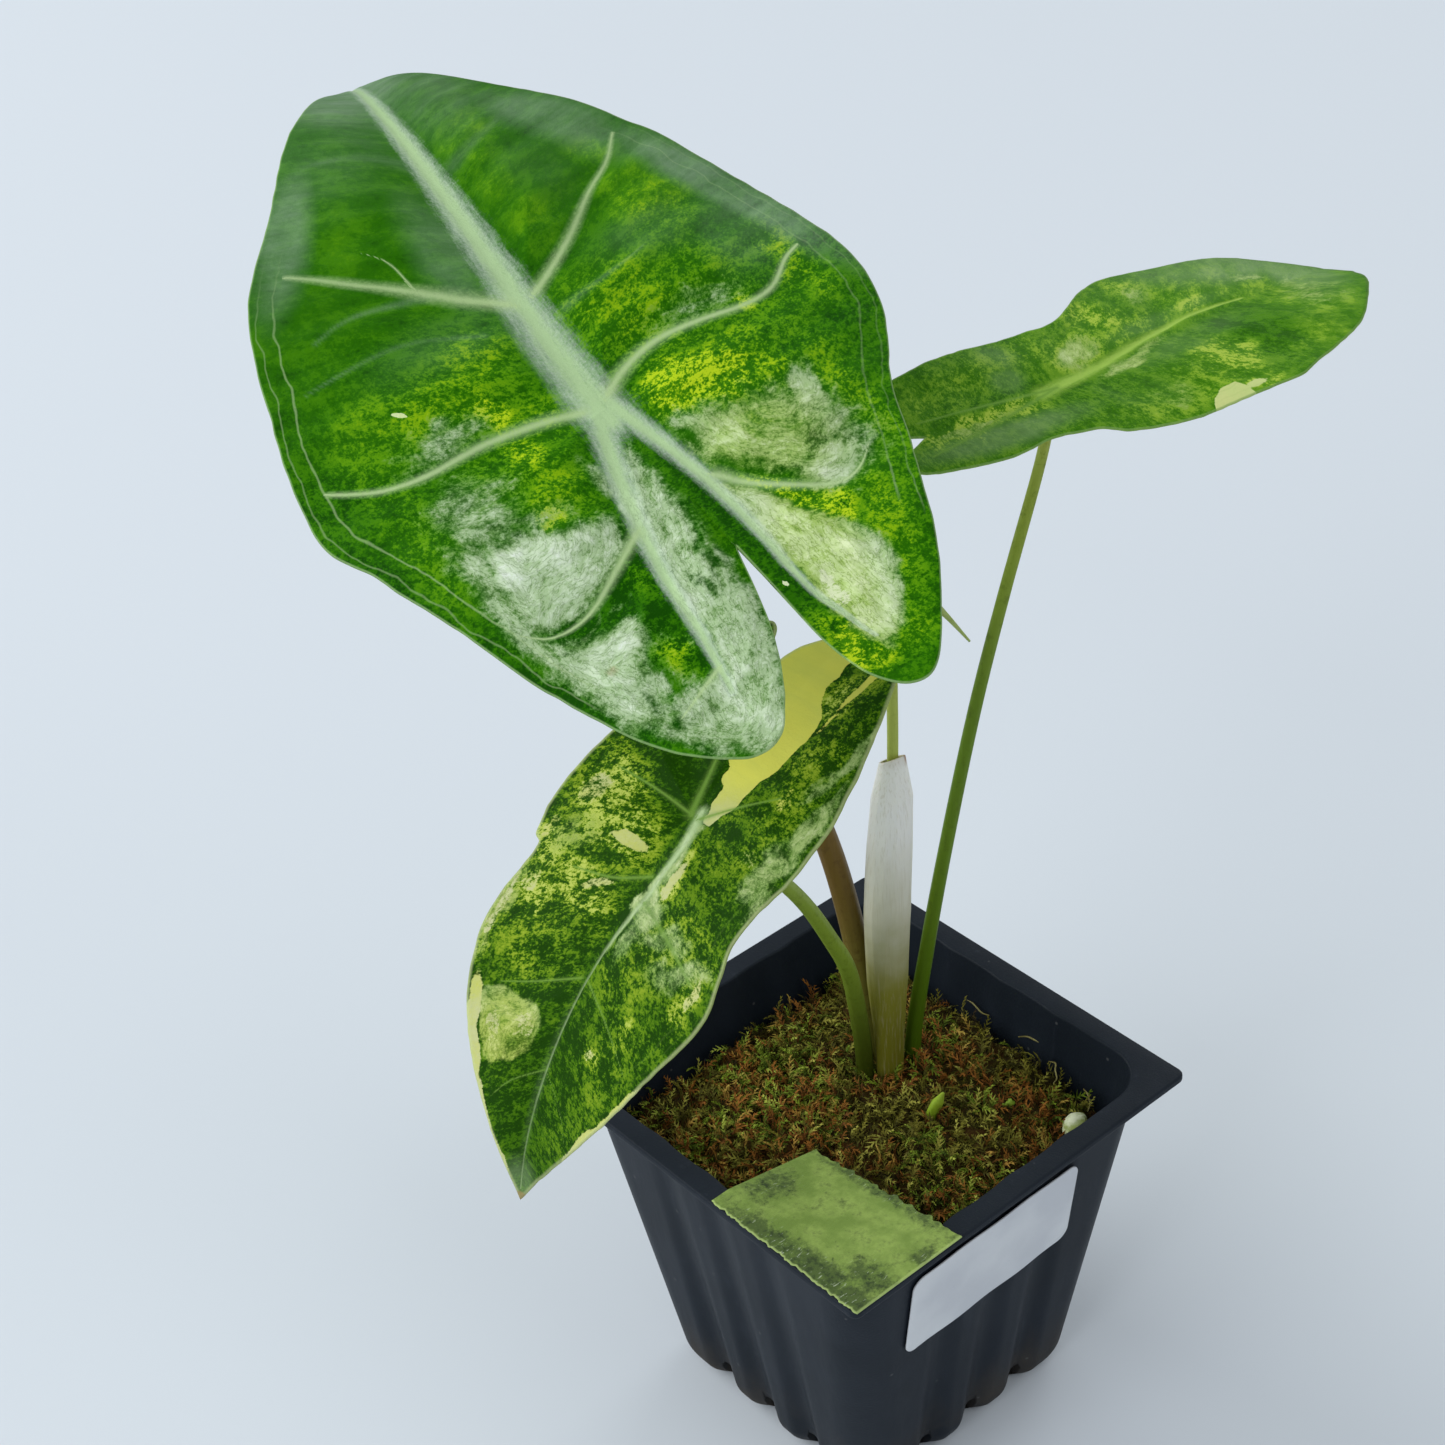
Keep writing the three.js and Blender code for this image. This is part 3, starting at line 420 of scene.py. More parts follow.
    "warmPales": [tint(68, 118, 10), tint(110, 150, 46), tint(154, 184, 88), tint(188, 210, 140),
                  tint(212, 227, 172)],
    "colours": {"warm": tint(206, 222, 150), "cream": tint(214, 226, 182), "creamBase": tint(212, 224, 180),
                "paintedSheen": tint(134, 160, 132), "rib": tint(176, 205, 154), "ribEdge": tint(196, 214, 194),
                "vein": tint(176, 202, 144), "edge": tint(150, 182, 120), "under": tint(112, 150, 82)},
}
leafTwo = {
    "name": "bladeTwo", "node": "leaf_2_blade", "slot": "leaf_marbled", "junction": (-40.5, -9.5, 153.5),
    "heading": 183, "slope": -26, "roll": -4.5, "droop": 0.67, "droopGrowth": 0.003, "lobeDroop": 0.16,
    "twist": 0.1, "bendLeft": 0.2, "bendRight": 0.2, "sway": 0.12, "fold": 5.5, "thickness": 0.7,
    "solid": 0.8, "rib": 0.9, "puff": 0.7, "veinWidth": 4, "waveHeight": 0.4, "waves": 8, "columns": 560,
    "rings": 72, "underRings": 22, "crinkle": 0.07, "corrugation": 0.08, "marginVeins": (1.2, 3.0),
    "marginVeinStrength": 0.12, "rimWidth": 0.7, "ribFade": (4.0, 34.0, 0.5), "laneStart": 0.2,
    "sinus": (5, 9), "contrast": (0.34, 0.26), "clouds": 0.46, "blur": (90.0, 99.0),
    "right": [(68, 0), (63.8, 1.8), (56, 7.4), (48.5, 13.5), (40.5, 18), (31.5, 20.7), (25, 21.4),
              (18.5, 20.8), (15.2, 20.8), (13.8, 22.4), (8, 23.4), (-1, 23.2), (-13, 21.4), (-24, 19),
              (-31.5, 16.5), (-34, 14), (-32.5, 11.6), (-26, 9.2), (-18, 6.4), (-13, 4.6)],
    "left": [(-13, 4.6), (-18, 5.6), (-25, 6.8), (-32, 5.6), (-37.5, 0), (-38.5, -7), (-35.5, -13),
             (-27, -18), (-18, -21), (-9, -23.4), (0.5, -24.1), (7.5, -23), (13.5, -21.8), (19, -22.8),
             (25.8, -23.5), (34.5, -20.5), (47.5, -13.9), (60, -5.1), (68, 0)],
    "puffVeins": [[(0, 0), (68, 0)], [(0, 0), (-0.5, 8), (1, 20)], [(0, 0), (4, -12), (2, -21)],
                  [(13, 0), (17, 8), (21, 16.5)], [(13, 0), (17.5, -9), (22, -19)], [(29, 0.5), (35.5, 14)],
                  [(29, 0), (36, -14)], [(0, 0), (-12, 9), (-31, 14)], [(0, 0), (-14, -6), (-35, -7)]],
    "costae": [([(-1, -1.2), (4, -2.6), (10, -2.8), (16, -2.2), (24, -0.9)], 0.7, 0.2),
               ([(22, -1.1), (34, -0.3), (66, 0)], 0.15, 0.08)],
    "veins": [([(0, 0), (-0.8, 8), (-1, 17)], 0.2, 0.08), ([(0, -1.8), (-3, -6), (-8, -13)], 0.26, 0.08),
              ([(11, -1), (14, 5), (15.5, 12)], 0.2, 0.08), ([(15, -3), (18.5, -12), (22, -19)], 0.3, 0.12),
              ([(29, 0.5), (33, 8), (35.5, 13.8)], 0.14, 0.06),
              ([(29, -1), (33, -8), (38, -15)], 0.14, 0.06), ([(0, 0.4), (-8, 2.6), (-13, 4.4)], 0.4, 0.2),
              ([(44, 0), (48, 5), (52, 8)], 0.1, 0.05), ([(44, 0), (48, -5), (53, -8)], 0.1, 0.05)],
    "lime": [(3, 16, 6, 6, 0, 0.95), (8, 9, 5, 8, 0, 0.8), (14, 18, 3, 5, 0, 0.95), (18, 9, 4, 7, 0, 0.76),
             (21, 16, 4, 5, 0, 0.78), (28, 10, 6, 7, 0, 0.42), (26, 19.8, 8, 1.4, -4, 0.95),
             (-6, 19, 8, 4, 0, 0.5), (-17, -13, 9, 5, 0, 0.46), (-26, -9, 4, 4, 0, 0.7),
             (-4, -15, 8, 5, 0, 0.34), (6, -13, 6, 7, 0, 0.24), (9, -5.6, 4, 1.6, 0, 0.85),
             (18, -12, 6, 7, 0, 0.46), (25, -8, 6, 6, 0, 0.3), (38, -7.4, 2, 1.8, 0, 0.72),
             (33, -12, 3, 2, 0, 0.52), (40, -12, 10, 5, 0, 0.24), (-30, -13, 4, 2.4, 0, 0.42),
             (-2, -7.4, 5, 2, 0, 0.4), (24, -19.6, 6, 1.6, 0, 0.6), (50, -7, 8, 4, 0, 0.18),
             (52, 5, 10, 3, 0, 0.12), (-26, -7, 3, 2, 0, 0.3)],
    "silverAndSheen": [(-4, -21.4, 9, 1.6, 3, 0.72), (4, -20, 5, 2.4, -10, 0.66), (-19, -19.0, 9, 1.1, 13, 0.66),
               (15.4, -5.6, 2.2, 2.4, -20, 0.86), (18, -10.6, 2.0, 4, -18, 0.56),
               (21.4, -16, 2.0, 4.4, -16, 0.58), (21, -4.6, 3.4, 2.0, 0, 0.56),
               (10, -3.6, 8, 1.2, -4, 0.85), (18, -1.6, 7, 0.9, 8, 0.8), (26, 19.8, 8, 1.2, -4, 0.6),
               (12, 15, 3, 5, -20, 0.4)],
    "silverAndSheenFields": [([(35.5, 4), (38, 2.9), (43, 3), (46, 6), (48, 9.5), (47.5, 11.5), (44, 13.5),
                       (40, 15.8), (37.5, 16.5), (36, 14), (35.7, 9)], 0.9, 0.7)],
    "cream": [(8.3, 6, 1.0, 3.2, 0, 1.1), (40, 16.6, 4, 1.2, -18, 0.9), (46, 14.6, 6, 1.3, -29, 1.0),
              (54, 9.0, 6, 0.6, -36, 0.7), (16, 7, 0.9, 4, -30, 0.56), (3.6, 18, 4, 3, 0, 0.52),
              (26, 19.8, 7, 0.9, -4, 0.52), (-29, -10.6, 5, 0.8, 7, 0.8), (-22, -10.2, 3, 0.5, 10, 0.62),
              (48, -13.3, 13, 0.8, 31, 0.85), (57, 6.9, 8, 0.6, -38, 0.85), (40, 6, 3, 3, 30, 0.44),
              (42, 12, 3, 2, 0, 0.46), (23, -20, 3, 1, 0, 0.5), (10, -5.6, 3.4, 1.0, 0, 0.66),
              (38, -7.4, 1.4, 1.2, 0, 0.5), (12, 20, 3, 1.6, 0, 0.46), (20, 17.6, 3, 2, 0, 0.45),
              (2, -15, 1.6, 2, 0, 0.44), (-8, -14, 3, 1.4, 0, 0.42)],
    "creamFields": [([(-41, -3.4), (-34, -4.2), (-28, -4.0), (-25, -5.4), (-22.5, -7.6), (-19.5, -8.8),
                      (-15, -8.5), (-11, -7.5), (-8, -6), (-4, -6), (0.3, -4.5), (0.3, -2.4), (-3, -1.8),
                      (-8, 0), (-12, 1.5), (-16, 6), (-26, 7), (-36, 8), (-41, 6)], 0.8, 1.4)],
    "warm": [(20, 0, 80, 40, 0, 0.4), (42, 9, 8, 8, 0, 1.0), (26, 19, 9, 3, 0, 1.0),
             (14, 14, 9, 12, 0, 1.0)],
    "deepGreenAndShade": [(-5, 9, 3.6, 8, 0, 0.8), (-10, 3.2, 9, 1.8, -14, 1.0), (30, 6, 6, 4, 0, 0.4),
             (48, -5, 12, 4, 0, 0.3), (52, 3, 10, 4, 0, 0.5), (-2, -9, 5, 4, 0, 0.4),
             (14, -0.8, 14, 0.8, 4, 0.9), (-24, -15, 6, 4, 0, 0.3), (10, -15, 4, 6, 0, 0.3),
             (-16, -9.6, 8, 0.8, 8, 0.6)],
    # haze patches are painted sheen where the leaf reflects the lights
    "paintedSheen": [(64, 0, 4, 3, 0, 0.7), (48, 0, 16, 0.8, 0, 0.3), (12, -3.4, 8, 1.6, -4, 0.4)],
    "brown": [(67.6, 0, 1.2, 3, 0, 1.6)],
    "greens": [tint(24, 60, 0), tint(36, 76, 2), tint(58, 100, 6), tint(92, 128, 18), tint(134, 158, 38),
               tint(178, 192, 88)],
    "pales": [tint(70, 112, 44), tint(112, 146, 84), tint(154, 180, 124), tint(184, 202, 160),
              tint(206, 216, 190)],
    "base": 0.22,
    "warmPales": [tint(78, 118, 20), tint(116, 148, 44), tint(154, 172, 76), tint(186, 196, 116),
                  tint(204, 210, 156)],
    "colours": {"warm": tint(186, 190, 140), "cream": tint(188, 194, 96), "creamBase": tint(216, 212, 94),
                "paintedSheen": tint(128, 158, 104), "rib": tint(178, 200, 150), "ribEdge": tint(160, 186, 130),
                "vein": tint(110, 146, 60), "edge": tint(184, 196, 138), "under": tint(132, 152, 74)},
}
leafThree = {
    "name": "bladeThree", "node": "leaf_3_blade", "slot": "leaf_green", "junction": (38, -9, 193.5),
    "heading": -5, "slope": 1, "roll": -14.5, "droop": -0.1, "droopGrowth": 0.0035, "lobeDroop": -0.04,
    "twist": 0.32, "bendLeft": 0.42, "bendRight": 0.53, "sway": -0.04, "fold": 3, "thickness": 0.7,
    "solid": 0.8, "rib": 0.8, "puff": 0.5, "veinWidth": 4, "waveHeight": 0.4, "waves": 7, "columns": 480,
    "rings": 64, "underRings": 20, "crinkle": 0.05, "corrugation": 0.06, "marginVeins": (1.2, 2.8),
    "marginVeinStrength": 0.12, "rimWidth": 0.35, "ribFade": (40.0, 66.0, 0.3), "laneStart": 0.3,
    "sinus": (3, 6), "contrast": (0.28, 0.36), "clouds": 0.56, "blur": (-10.0, 80.0),
    "right": [(62.5, 5), (60, 10), (56, 13.5), (50, 17.4), (43, 19), (37.5, 19.9), (32, 21), (21, 19),
              (10.5, 16.4), (3, 13.8), (-1, 11.1), (-8, 8.7), (-16, 8.2), (-24.5, 6.4), (-30, 5),
              (-31.8, 3.2), (-31, 1.1), (-25.7, -1.2)],
    "left": [(-25.7, -1.2), (-30, -3.6), (-31.6, -7.5), (-28.5, -11.2), (-22.8, -13), (-13, -14),
             (-3.5, -13.9), (5, -13.2), (11, -13), (15.5, -14.9), (21.5, -18), (28, -20), (34.5, -19.3),
             (45.5, -16), (52.5, -12), (57.5, -6.5), (60.5, -1), (62.5, 5)],
    "puffVeins": [[(0, 0), (62.5, 5)], [(6, 0), (10, 8), (17, 15)], [(6, 0), (9, -7), (15, -12)],
                  [(24, -0.8), (31, 9), (40, 16)], [(24, -0.8), (30, -10), (38, -15)],
                  [(0, 0), (-14, 2.5), (-29, 4)], [(0, 0), (-12, -5), (-27, -8.5)]],
    "costae": [([(-3, 0), (10, -0.5), (20, -1.5), (30, -2), (42, -0.6)], 1.0, 0.14)],
    "veins": [([(0, 0), (-12, 1.4), (-27, 2.6)], 0.3, 0.12), ([(0, 0), (-12, -2), (-25, -4)], 0.25, 0.1)],
    "lime": [(8, -5, 3.8, 2.8, -25, 1.1), (18, -10, 6, 3, 40, 0.55), (28, -15.4, 3.4, 4, 0, 0.5),
             (33, -4.4, 3, 1.6, 0, 0.85), (28, 10.5, 3.4, 4.4, 0, 1.1), (24.4, 7, 1.6, 1.6, 0, 0.5),
             (50, 6, 5, 7, 0, 0.45), (22, 12, 5, 4, 20, 0.34), (-16, 0.4, 9, 1.5, 4, 1.0),
             (-6, -9, 14, 3, 0, 0.2), (-16, -6, 9, 4, 0, 0.16), (14, 13, 8, 3, 18, 0.3),
             (44, -3, 8, 3, 0, 0.3), (40, 15, 7, 3, 0, 0.34), (20, -5, 9, 4, 0, 0.3),
             (38, -10, 9, 6, 0, 0.25), (27, 18.4, 3, 1, 0, 0.8)],
    "silverAndSheen": [(8, -5, 3.4, 2.4, -25, 1.0), (15, 1.2, 6, 1.1, -8, 0.8), (47, -5, 2.4, 1.4, 0, 0.66),
               (52, 5, 4, 6, 20, 0.5), (-18, 0.6, 7, 0.8, 4, 0.55), (14, 11.4, 4, 2, 25, 0.36),
               (28, -13, 3, 3, 0, 0.35)],
    "cream": [(25.6, 18.2, 2, 0.7, 0, 0.8)],
    "creamFields": [([(17.4, 17.0), (19.6, 15.6), (22.4, 15.6), (24, 18), (24, 22), (16, 20)], 0.8, 1.2)],
    "warm": [(20, 0, 80, 40, 0, 0.6)],
    "deepGreenAndShade": [(36, 9, 6, 7, 0, 0.85), (39, -15.6, 4, 1.4, 10, 0.8), (-8, -2, 12, 0.7, 6, 0.4),
             (4, 5, 8, 4, 0, 0.1)],
    # haze patches are painted sheen where the leaf reflects the lights
    "paintedSheen": [(46, -12, 14, 6, 24, 0.75), (-6, -5, 3, 2.6, 0, 0.6), (-4, -10, 3, 4, 0, 0.5),
             (-14, 4.4, 14, 2.4, 8, 0.75), (26, 3, 12, 3, 0, 0.4), (56, -1, 5, 8, 0, 0.8),
             (26, -4, 12, 2, 0, 0.35), (10, 8, 8, 5, 30, 0.2)],
    "greens": [tint(40, 92, 2), tint(58, 114, 6), tint(74, 128, 16), tint(94, 143, 28), tint(126, 166, 42),
               tint(160, 188, 66)],
    "pales": [tint(74, 126, 40), tint(104, 148, 66), tint(138, 172, 92), tint(164, 190, 116),
              tint(186, 206, 140)],
    "base": 0.36,
    "warmPales": [tint(80, 130, 20), tint(112, 154, 44), tint(150, 180, 78), tint(178, 202, 118),
                  tint(196, 214, 150)],
    "colours": {"warm": tint(190, 206, 130), "cream": tint(202, 208, 136), "creamBase": tint(202, 208, 136),
                "paintedSheen": tint(120, 152, 96), "rib": tint(158, 194, 84), "ribEdge": tint(128, 168, 58),
                "vein": tint(106, 150, 56), "edge": tint(128, 164, 90), "under": tint(122, 158, 70)},
}


def distanceTo(places, lines):  # to the nearest line, over its half width, with the side it lies on
    best = np.full(len(places), 99.0)
    sides = np.ones(len(places))
    for points, first, last in lines:
        path = evenLine(points, 4 * len(points)) if len(points) > 2 else np.array(points, float)
        for i in range(len(path) - 1):
            step = path[i + 1] - path[i]
            along = np.clip(((places - path[i]) @ step) / (step @ step), 0, 1)
            away = places - path[i] - along[:, None] * step
            share = (i + along) / (len(path) - 1)
            reach = np.hypot(away[:, 0], away[:, 1]) / (first + (last - first) * share)
            nearer = reach < best
            best = np.where(nearer, reach, best)
            sides = np.where(nearer, np.sign(step[0] * away[:, 1] - step[1] * away[:, 0]), sides)
    return best, best * sides


def patchField(places, patches):
    field = np.zeros(len(places))
    for u, v, longHalf, wideHalf, turn, strength in patches:
        angle = math.radians(turn)
        du, dv = places[:, 0] - u, places[:, 1] - v
        along = (du * math.cos(angle) + dv * math.sin(angle)) / longHalf
        across = (-du * math.sin(angle) + dv * math.cos(angle)) / wideHalf
        field = np.maximum(field, strength * np.clip(1.6 - np.hypot(along, across), 0, 1))
    return field


def shapeField(places, shapes):  # 1 inside an outline, 0 outside, with a soft edge of the given width
    field = np.zeros(len(places))
    u, v = places.T
    for outline, soft, strength in shapes:
        corners = np.array(outline, float)
        inside = np.zeros(len(places), bool)
        away = np.full(len(places), 99.0)
        for first, last in zip(corners, np.roll(corners, -1, axis=0)):
            step = last - first
            along = np.clip(((places - first) @ step) / (step @ step), 0, 1)
            gap = places - first - along[:, None] * step
            away = np.minimum(away, np.hypot(gap[:, 0], gap[:, 1]))
            crosses = (first[1] > v) != (last[1] > v)
            inside ^= crosses & (u < first[0] + (v - first[1]) * step[0] / (step[1] or 1e-9))
        field = np.maximum(field, strength * np.clip(0.5 + np.where(inside, away, -away) / soft, 0, 1))
    return field


def bladeAxes(leaf):  # along the midrib, to the right and up, at the petiole
    heading, slope, roll = (math.radians(leaf[key]) for key in ("heading", "slope", "roll"))
    flat = math.cos(slope)
    along = np.array([math.cos(heading) * flat, math.sin(heading) * flat, math.sin(slope)])
    level = np.array([math.sin(heading), -math.cos(heading), 0])
    right = level * math.cos(roll) - np.cross(along, level) * math.sin(roll)
    return along, right, np.cross(right, along)


def bladeSurface(leaf, u, v, lift):  # places of the bent blade, as in the part's own solids
    along, right, up = bladeAxes(leaf)
    one = math.radians(1)
    steps = 24

    def pitchAt(w):
        tipward = -(leaf["droop"] * w + leaf["droopGrowth"] * w * w)
        return np.where(w > 0, tipward, -leaf["lobeDroop"] * w) * one

    place = np.zeros((len(u), 3)) + np.array(leaf["junction"], float)
    for i in range(steps):
        w = u * (i + 0.5) / steps
        sway = np.where(w > 0, leaf["sway"] * one * w, 0)
        ahead, rise = np.cos(pitchAt(w)) * np.cos(sway), np.sin(pitchAt(w)) * np.cos(sway)
        for size, axis in ((ahead, along), (rise, up), (np.sin(sway), right)):
            place += (size * u / steps)[:, None] * axis
    pitch = pitchAt(u)[:, None]
    upHere = -np.sin(pitch) * along + np.cos(pitch) * up
    twist = (leaf["twist"] * one * u)[:, None]
    across = np.cos(twist) * right + np.sin(twist) * upHere
    normal = np.cos(twist) * upHere - np.sin(twist) * right
    bend = np.where(v < 0, leaf["bendLeft"], leaf["bendRight"]) * one
    reach = np.sin(bend * abs(v)) / bend
    drop = (1 - np.cos(bend * abs(v))) / bend
    fold = leaf["fold"] * one
    place += (np.sign(v) * (reach * math.cos(fold) + drop * math.sin(fold)))[:, None] * across
    return place + (reach * math.sin(fold) - drop * math.cos(fold) + lift)[:, None] * normal


def laneOf(leaf, flat):  # where on the midrib the side vein through a place would start
    v = np.abs(flat[:, 1])
    return (flat[:, 0] - leaf["laneStart"] * v) / (1 + 0.006 * v)


def bladeRelief(leaf, flat, share, turn, edge, silverAndSheen, toVein, costa):  # height of the upper face
    u, v = flat.T
    margin = np.clip((share - 0.6) / 0.4, 0, 1)
    puff = leaf["puff"] * (1 - np.exp(-((toVein / leaf["veinWidth"]) ** 2))) * (1 - 0.6 * margin)
    wave = leaf["waveHeight"] * np.sin(turn * leaf["waves"] * 2 * np.pi) * margin
    lane = laneOf(leaf, flat)
    ridges = np.sin(lane * 0.9 + 1.4 * softNoise(lane / 7, v / 12, 3)) * np.clip(edge / 5, 0, 1)
    ridges = leaf["corrugation"] * ridges * np.clip(np.abs(v) / 9, 0, 1)
    folds = softNoise(u / 3.4, v / 3.4 + np.minimum(toVein, edge) / 1.5, 11)
    folds = folds + 0.6 * softNoise(u / 2.2, v / 2.2 + np.minimum(toVein, edge) / 1.0, 12)
    crinkle = leaf["crinkle"] * folds * (0.2 + np.clip(silverAndSheen, 0, 1)) * np.clip(edge / 2.5, 0, 1)
    inland = np.clip(edge / 3, 0, 1) * np.clip(np.hypot(u, v) / 5 - 0.6, 0, 1)
    groove = -0.2 * np.exp(-((costa / 0.9) ** 2)) * inland
    return puff + wave + ridges + crinkle * np.clip(toVein / 1.6, 0.15, 1) + groove


def leafSkin(leaf):
    colours = leaf["colours"]

    def ladder(tree, level, tones):  # even steps from the first tone at 0 to the last at 1
        colour = tones[0]
        for i, tone in enumerate(tones[1:]):
            colour = tree.blend(level.step(i / (len(tones) - 1), (i + 1) / (len(tones) - 1)), colour, tone)
        return colour

    def paint(tree):
        flat = tree.attribute("flat", "Vector")
        u, v, under = tree.split(flat)
        lime, silverAndSheen, cream = tree.split(tree.attribute("tones", "Vector"))
        deepGreenAndShade, paintedSheen, lane = tree.split(tree.attribute("moods", "Vector"))
        costa, edge, contour = tree.split(tree.attribute("lines", "Vector"))
        veinSide, veinNear, brown = tree.split(tree.attribute("veins", "Vector"))
        warm = tree.attribute("warm")

        def spread(place, detail, roughness, warp=0.0):  # noise with its middle at 0, most of it within 1
            return (tree.noise(place, 1.0, detail, roughness, warp) - 0.5) * 8

        sponge = spread(tree.join(lane * 0.30, v * 0.22, u * 0.06), 8.0, 0.72, 0.25)
        speck = spread(tree.join(lane * 1.1, v * 0.8, u * 0.3), 5.0, 0.74, 0.2)
        fine = spread(tree.join(lane * 2.5, v * 2.0, u * 0.6), 3.0, 0.72, 0.2)
        grain = spread(tree.stretch(flat, (3.0, 3.0, 1.0)), 3.0, 0.7)
        broad = spread(tree.stretch(flat, (0.08, 0.08, 1.0)), 3.0, 0.5)
        streak = spread(tree.join(lane * 0.40, v * 0.04), 5.0, 0.66)
        strokes = spread(tree.join(u * 0.24, v * 0.24, contour * 0.44), 5.0, 0.58, 0.5)
        folds = spread(tree.join(u * 0.44, v * 0.44, contour * 1.2), 4.0, 0.6, 0.4)
        clearness = 1 - 0.75 * u.step(*leaf["blur"])
        mottle = leaf["clouds"] * sponge + (0.40 * speck + 0.32 * fine) * clearness
        crisp = mottle.step(-0.42, 0.42) * 2 - 1
        mottle = mottle + 0.62 * clearness * (crisp - mottle)

        # deep darkens the green: partly darker tissue, partly painted shade in folds and hollows
        level = leaf["base"] + 0.03 * broad + 0.04 * streak - 0.26 * deepGreenAndShade + 0.50 * lime
        level = level + (leaf["contrast"][0] + leaf["contrast"][1] * lime.least(1.0)) * mottle
        colour = ladder(tree, level, leaf["greens"])
        # painted sheen: the haze tone is a painted reflection of the lights
        paintedSheenMask = (paintedSheen * (0.70 + 0.08 * streak + 0.08 * broad + 0.05 * speck)).step(0.0, 1.0)
        colour = tree.blend(paintedSheenMask * 0.8, colour, colours["paintedSheen"])
        # the silver tone is partly the leaf's own pale variegation and partly painted sheen
        paleness = silverAndSheen + 0.06 * strokes + 0.13 * sponge + 0.11 * speck + 0.08 * fine - 0.45 * deepGreenAndShade
        silverAndSheenMask = paleness.step(0.15, 0.78) * silverAndSheen.step(0.0, 0.12)
        # crease lowers the pale tone in the wrinkles: painted shade, besides the real bump it also drives
        crease = 1 - folds.size().step(0.0, 0.24)
        gleam = 0.06 + 0.58 * silverAndSheen + 0.13 * strokes + 0.09 * sponge + 0.06 * speck + 0.05 * fine
        gleam = gleam - 0.21 * crease - 0.2 * deepGreenAndShade
        pale = tree.blend(warm, ladder(tree, gleam, leaf["pales"]), ladder(tree, gleam, leaf["warmPales"]))
        colour = tree.blend(silverAndSheenMask, colour, pale)
        creamMask = (cream + 0.09 * sponge + 0.09 * speck + 0.05 * fine - 0.5).step(-0.07, 0.09)
        clouded = (0.5 + 0.2 * broad + 0.16 * sponge + 0.1 * fine).step(0.0, 1.0)
        creamTone = tree.blend(clouded, colours["cream"], colours["warm"])
        streaked = (0.42 + 0.2 * streak + 0.2 * broad).step(0.0, 1.0) * 0.5
        shaded = tree.blend(streaked, colours["creamBase"], colours["cream"])
        creamTone = tree.blend((0 - u).step(0.0, 10.0), creamTone, shaded)
        colour = tree.blend(creamMask * 0.97, colour, creamTone)

        fibres = spread(tree.join(u * 0.22 + v.size() * 0.4, v * 1.3), 5.0, 0.74)
        ribMask = 1 - (costa + 0.24 * fibres + 0.18 * fine + 0.08 * grain).step(0.1, 2.5)
        ribSide = (costa + 0.20 * fibres + 0.06 * broad).step(0.3, 1.6)
        ribTone = tree.blend(ribSide, colours["rib"], colours["ribEdge"])
        fadeFrom, fadeTo, faded = leaf["ribFade"]
        colour = tree.blend(ribMask * (0.94 - faded * u.step(fadeFrom, fadeTo)), colour, ribTone)
        halo = (1 - veinNear.step(0.6, 4.2)) * (0.34 + 0.10 * speck + 0.10 * fine)
        veinMask = 1 - (veinSide.size() + 0.18 * speck + 0.16 * fine).step(0.0, 2.6)
        veinMask = veinMask * (1 - veinNear.step(2.4, 3.6))
        veined = (veinMask * (0.86 - 0.2 * u.step(14.0, 50.0))).most(halo)
        colour = tree.blend(veined, colour, colours["vein"])
        wobble = edge + 0.3 * spread(tree.stretch(flat, (0.16, 0.16, 1.0)), 2.0, 0.5)
        inner = 1 - (wobble - leaf["marginVeins"][1]).size().step(0.03, 0.26)
        outer = 1 - (wobble - leaf["marginVeins"][0]).size().step(0.03, 0.22)
        clear = (1 - u.step(30.0, 58.0)) * (v.size() + 0.5 * u).step(leaf["sinus"][0], leaf["sinus"][1])
        clear = clear * (1 - 0.6 * (v - u.size() * 0.6).step(0.0, 14.0))
        lines = inner.most(outer * 0.7) * clear * leaf["marginVeinStrength"]
        colour = tree.blend(lines, colour, colours["vein"])
        colour = tree.blend((1 - edge.step(0.05, leaf["rimWidth"])) * 0.62, colour, colours["edge"])
        colour = tree.blend((brown + 0.1 * speck).step(0.3, 1.0) * 0.75, colour, tint(150, 128, 84))
        paler = 0.35 * level + 0.4 * silverAndSheenMask + 0.6 * creamMask
        back = tree.blend(paler, colours["under"], colours["warm"])
        back = tree.blend(ribMask.most(veinMask) * 0.6, back, colours["rib"])
        colour = tree.blend(under, colour, back)
        height = strokes * (0.02 + 0.12 * silverAndSheenMask) + folds * 0.01 - crease * 0.14 * silverAndSheenMask
        height = height + 0.04 * speck + 0.03 * fine
        return {
            "Base Color": colour,
            "Roughness": 0.46 + 0.02 * speck - 0.05 * silverAndSheenMask + 0.12 * under,
            "Specular IOR Level": 0.03,
            "Coat Weight": (0.22 * silverAndSheenMask + 0.25 * paintedSheenMask) * (1 - under),
            "Coat Roughness": 0.25,
            "Normal": tree.bump(height, 0.00035, 0.9),
        }

    return finish(leaf["name"] + "Skin", paint)


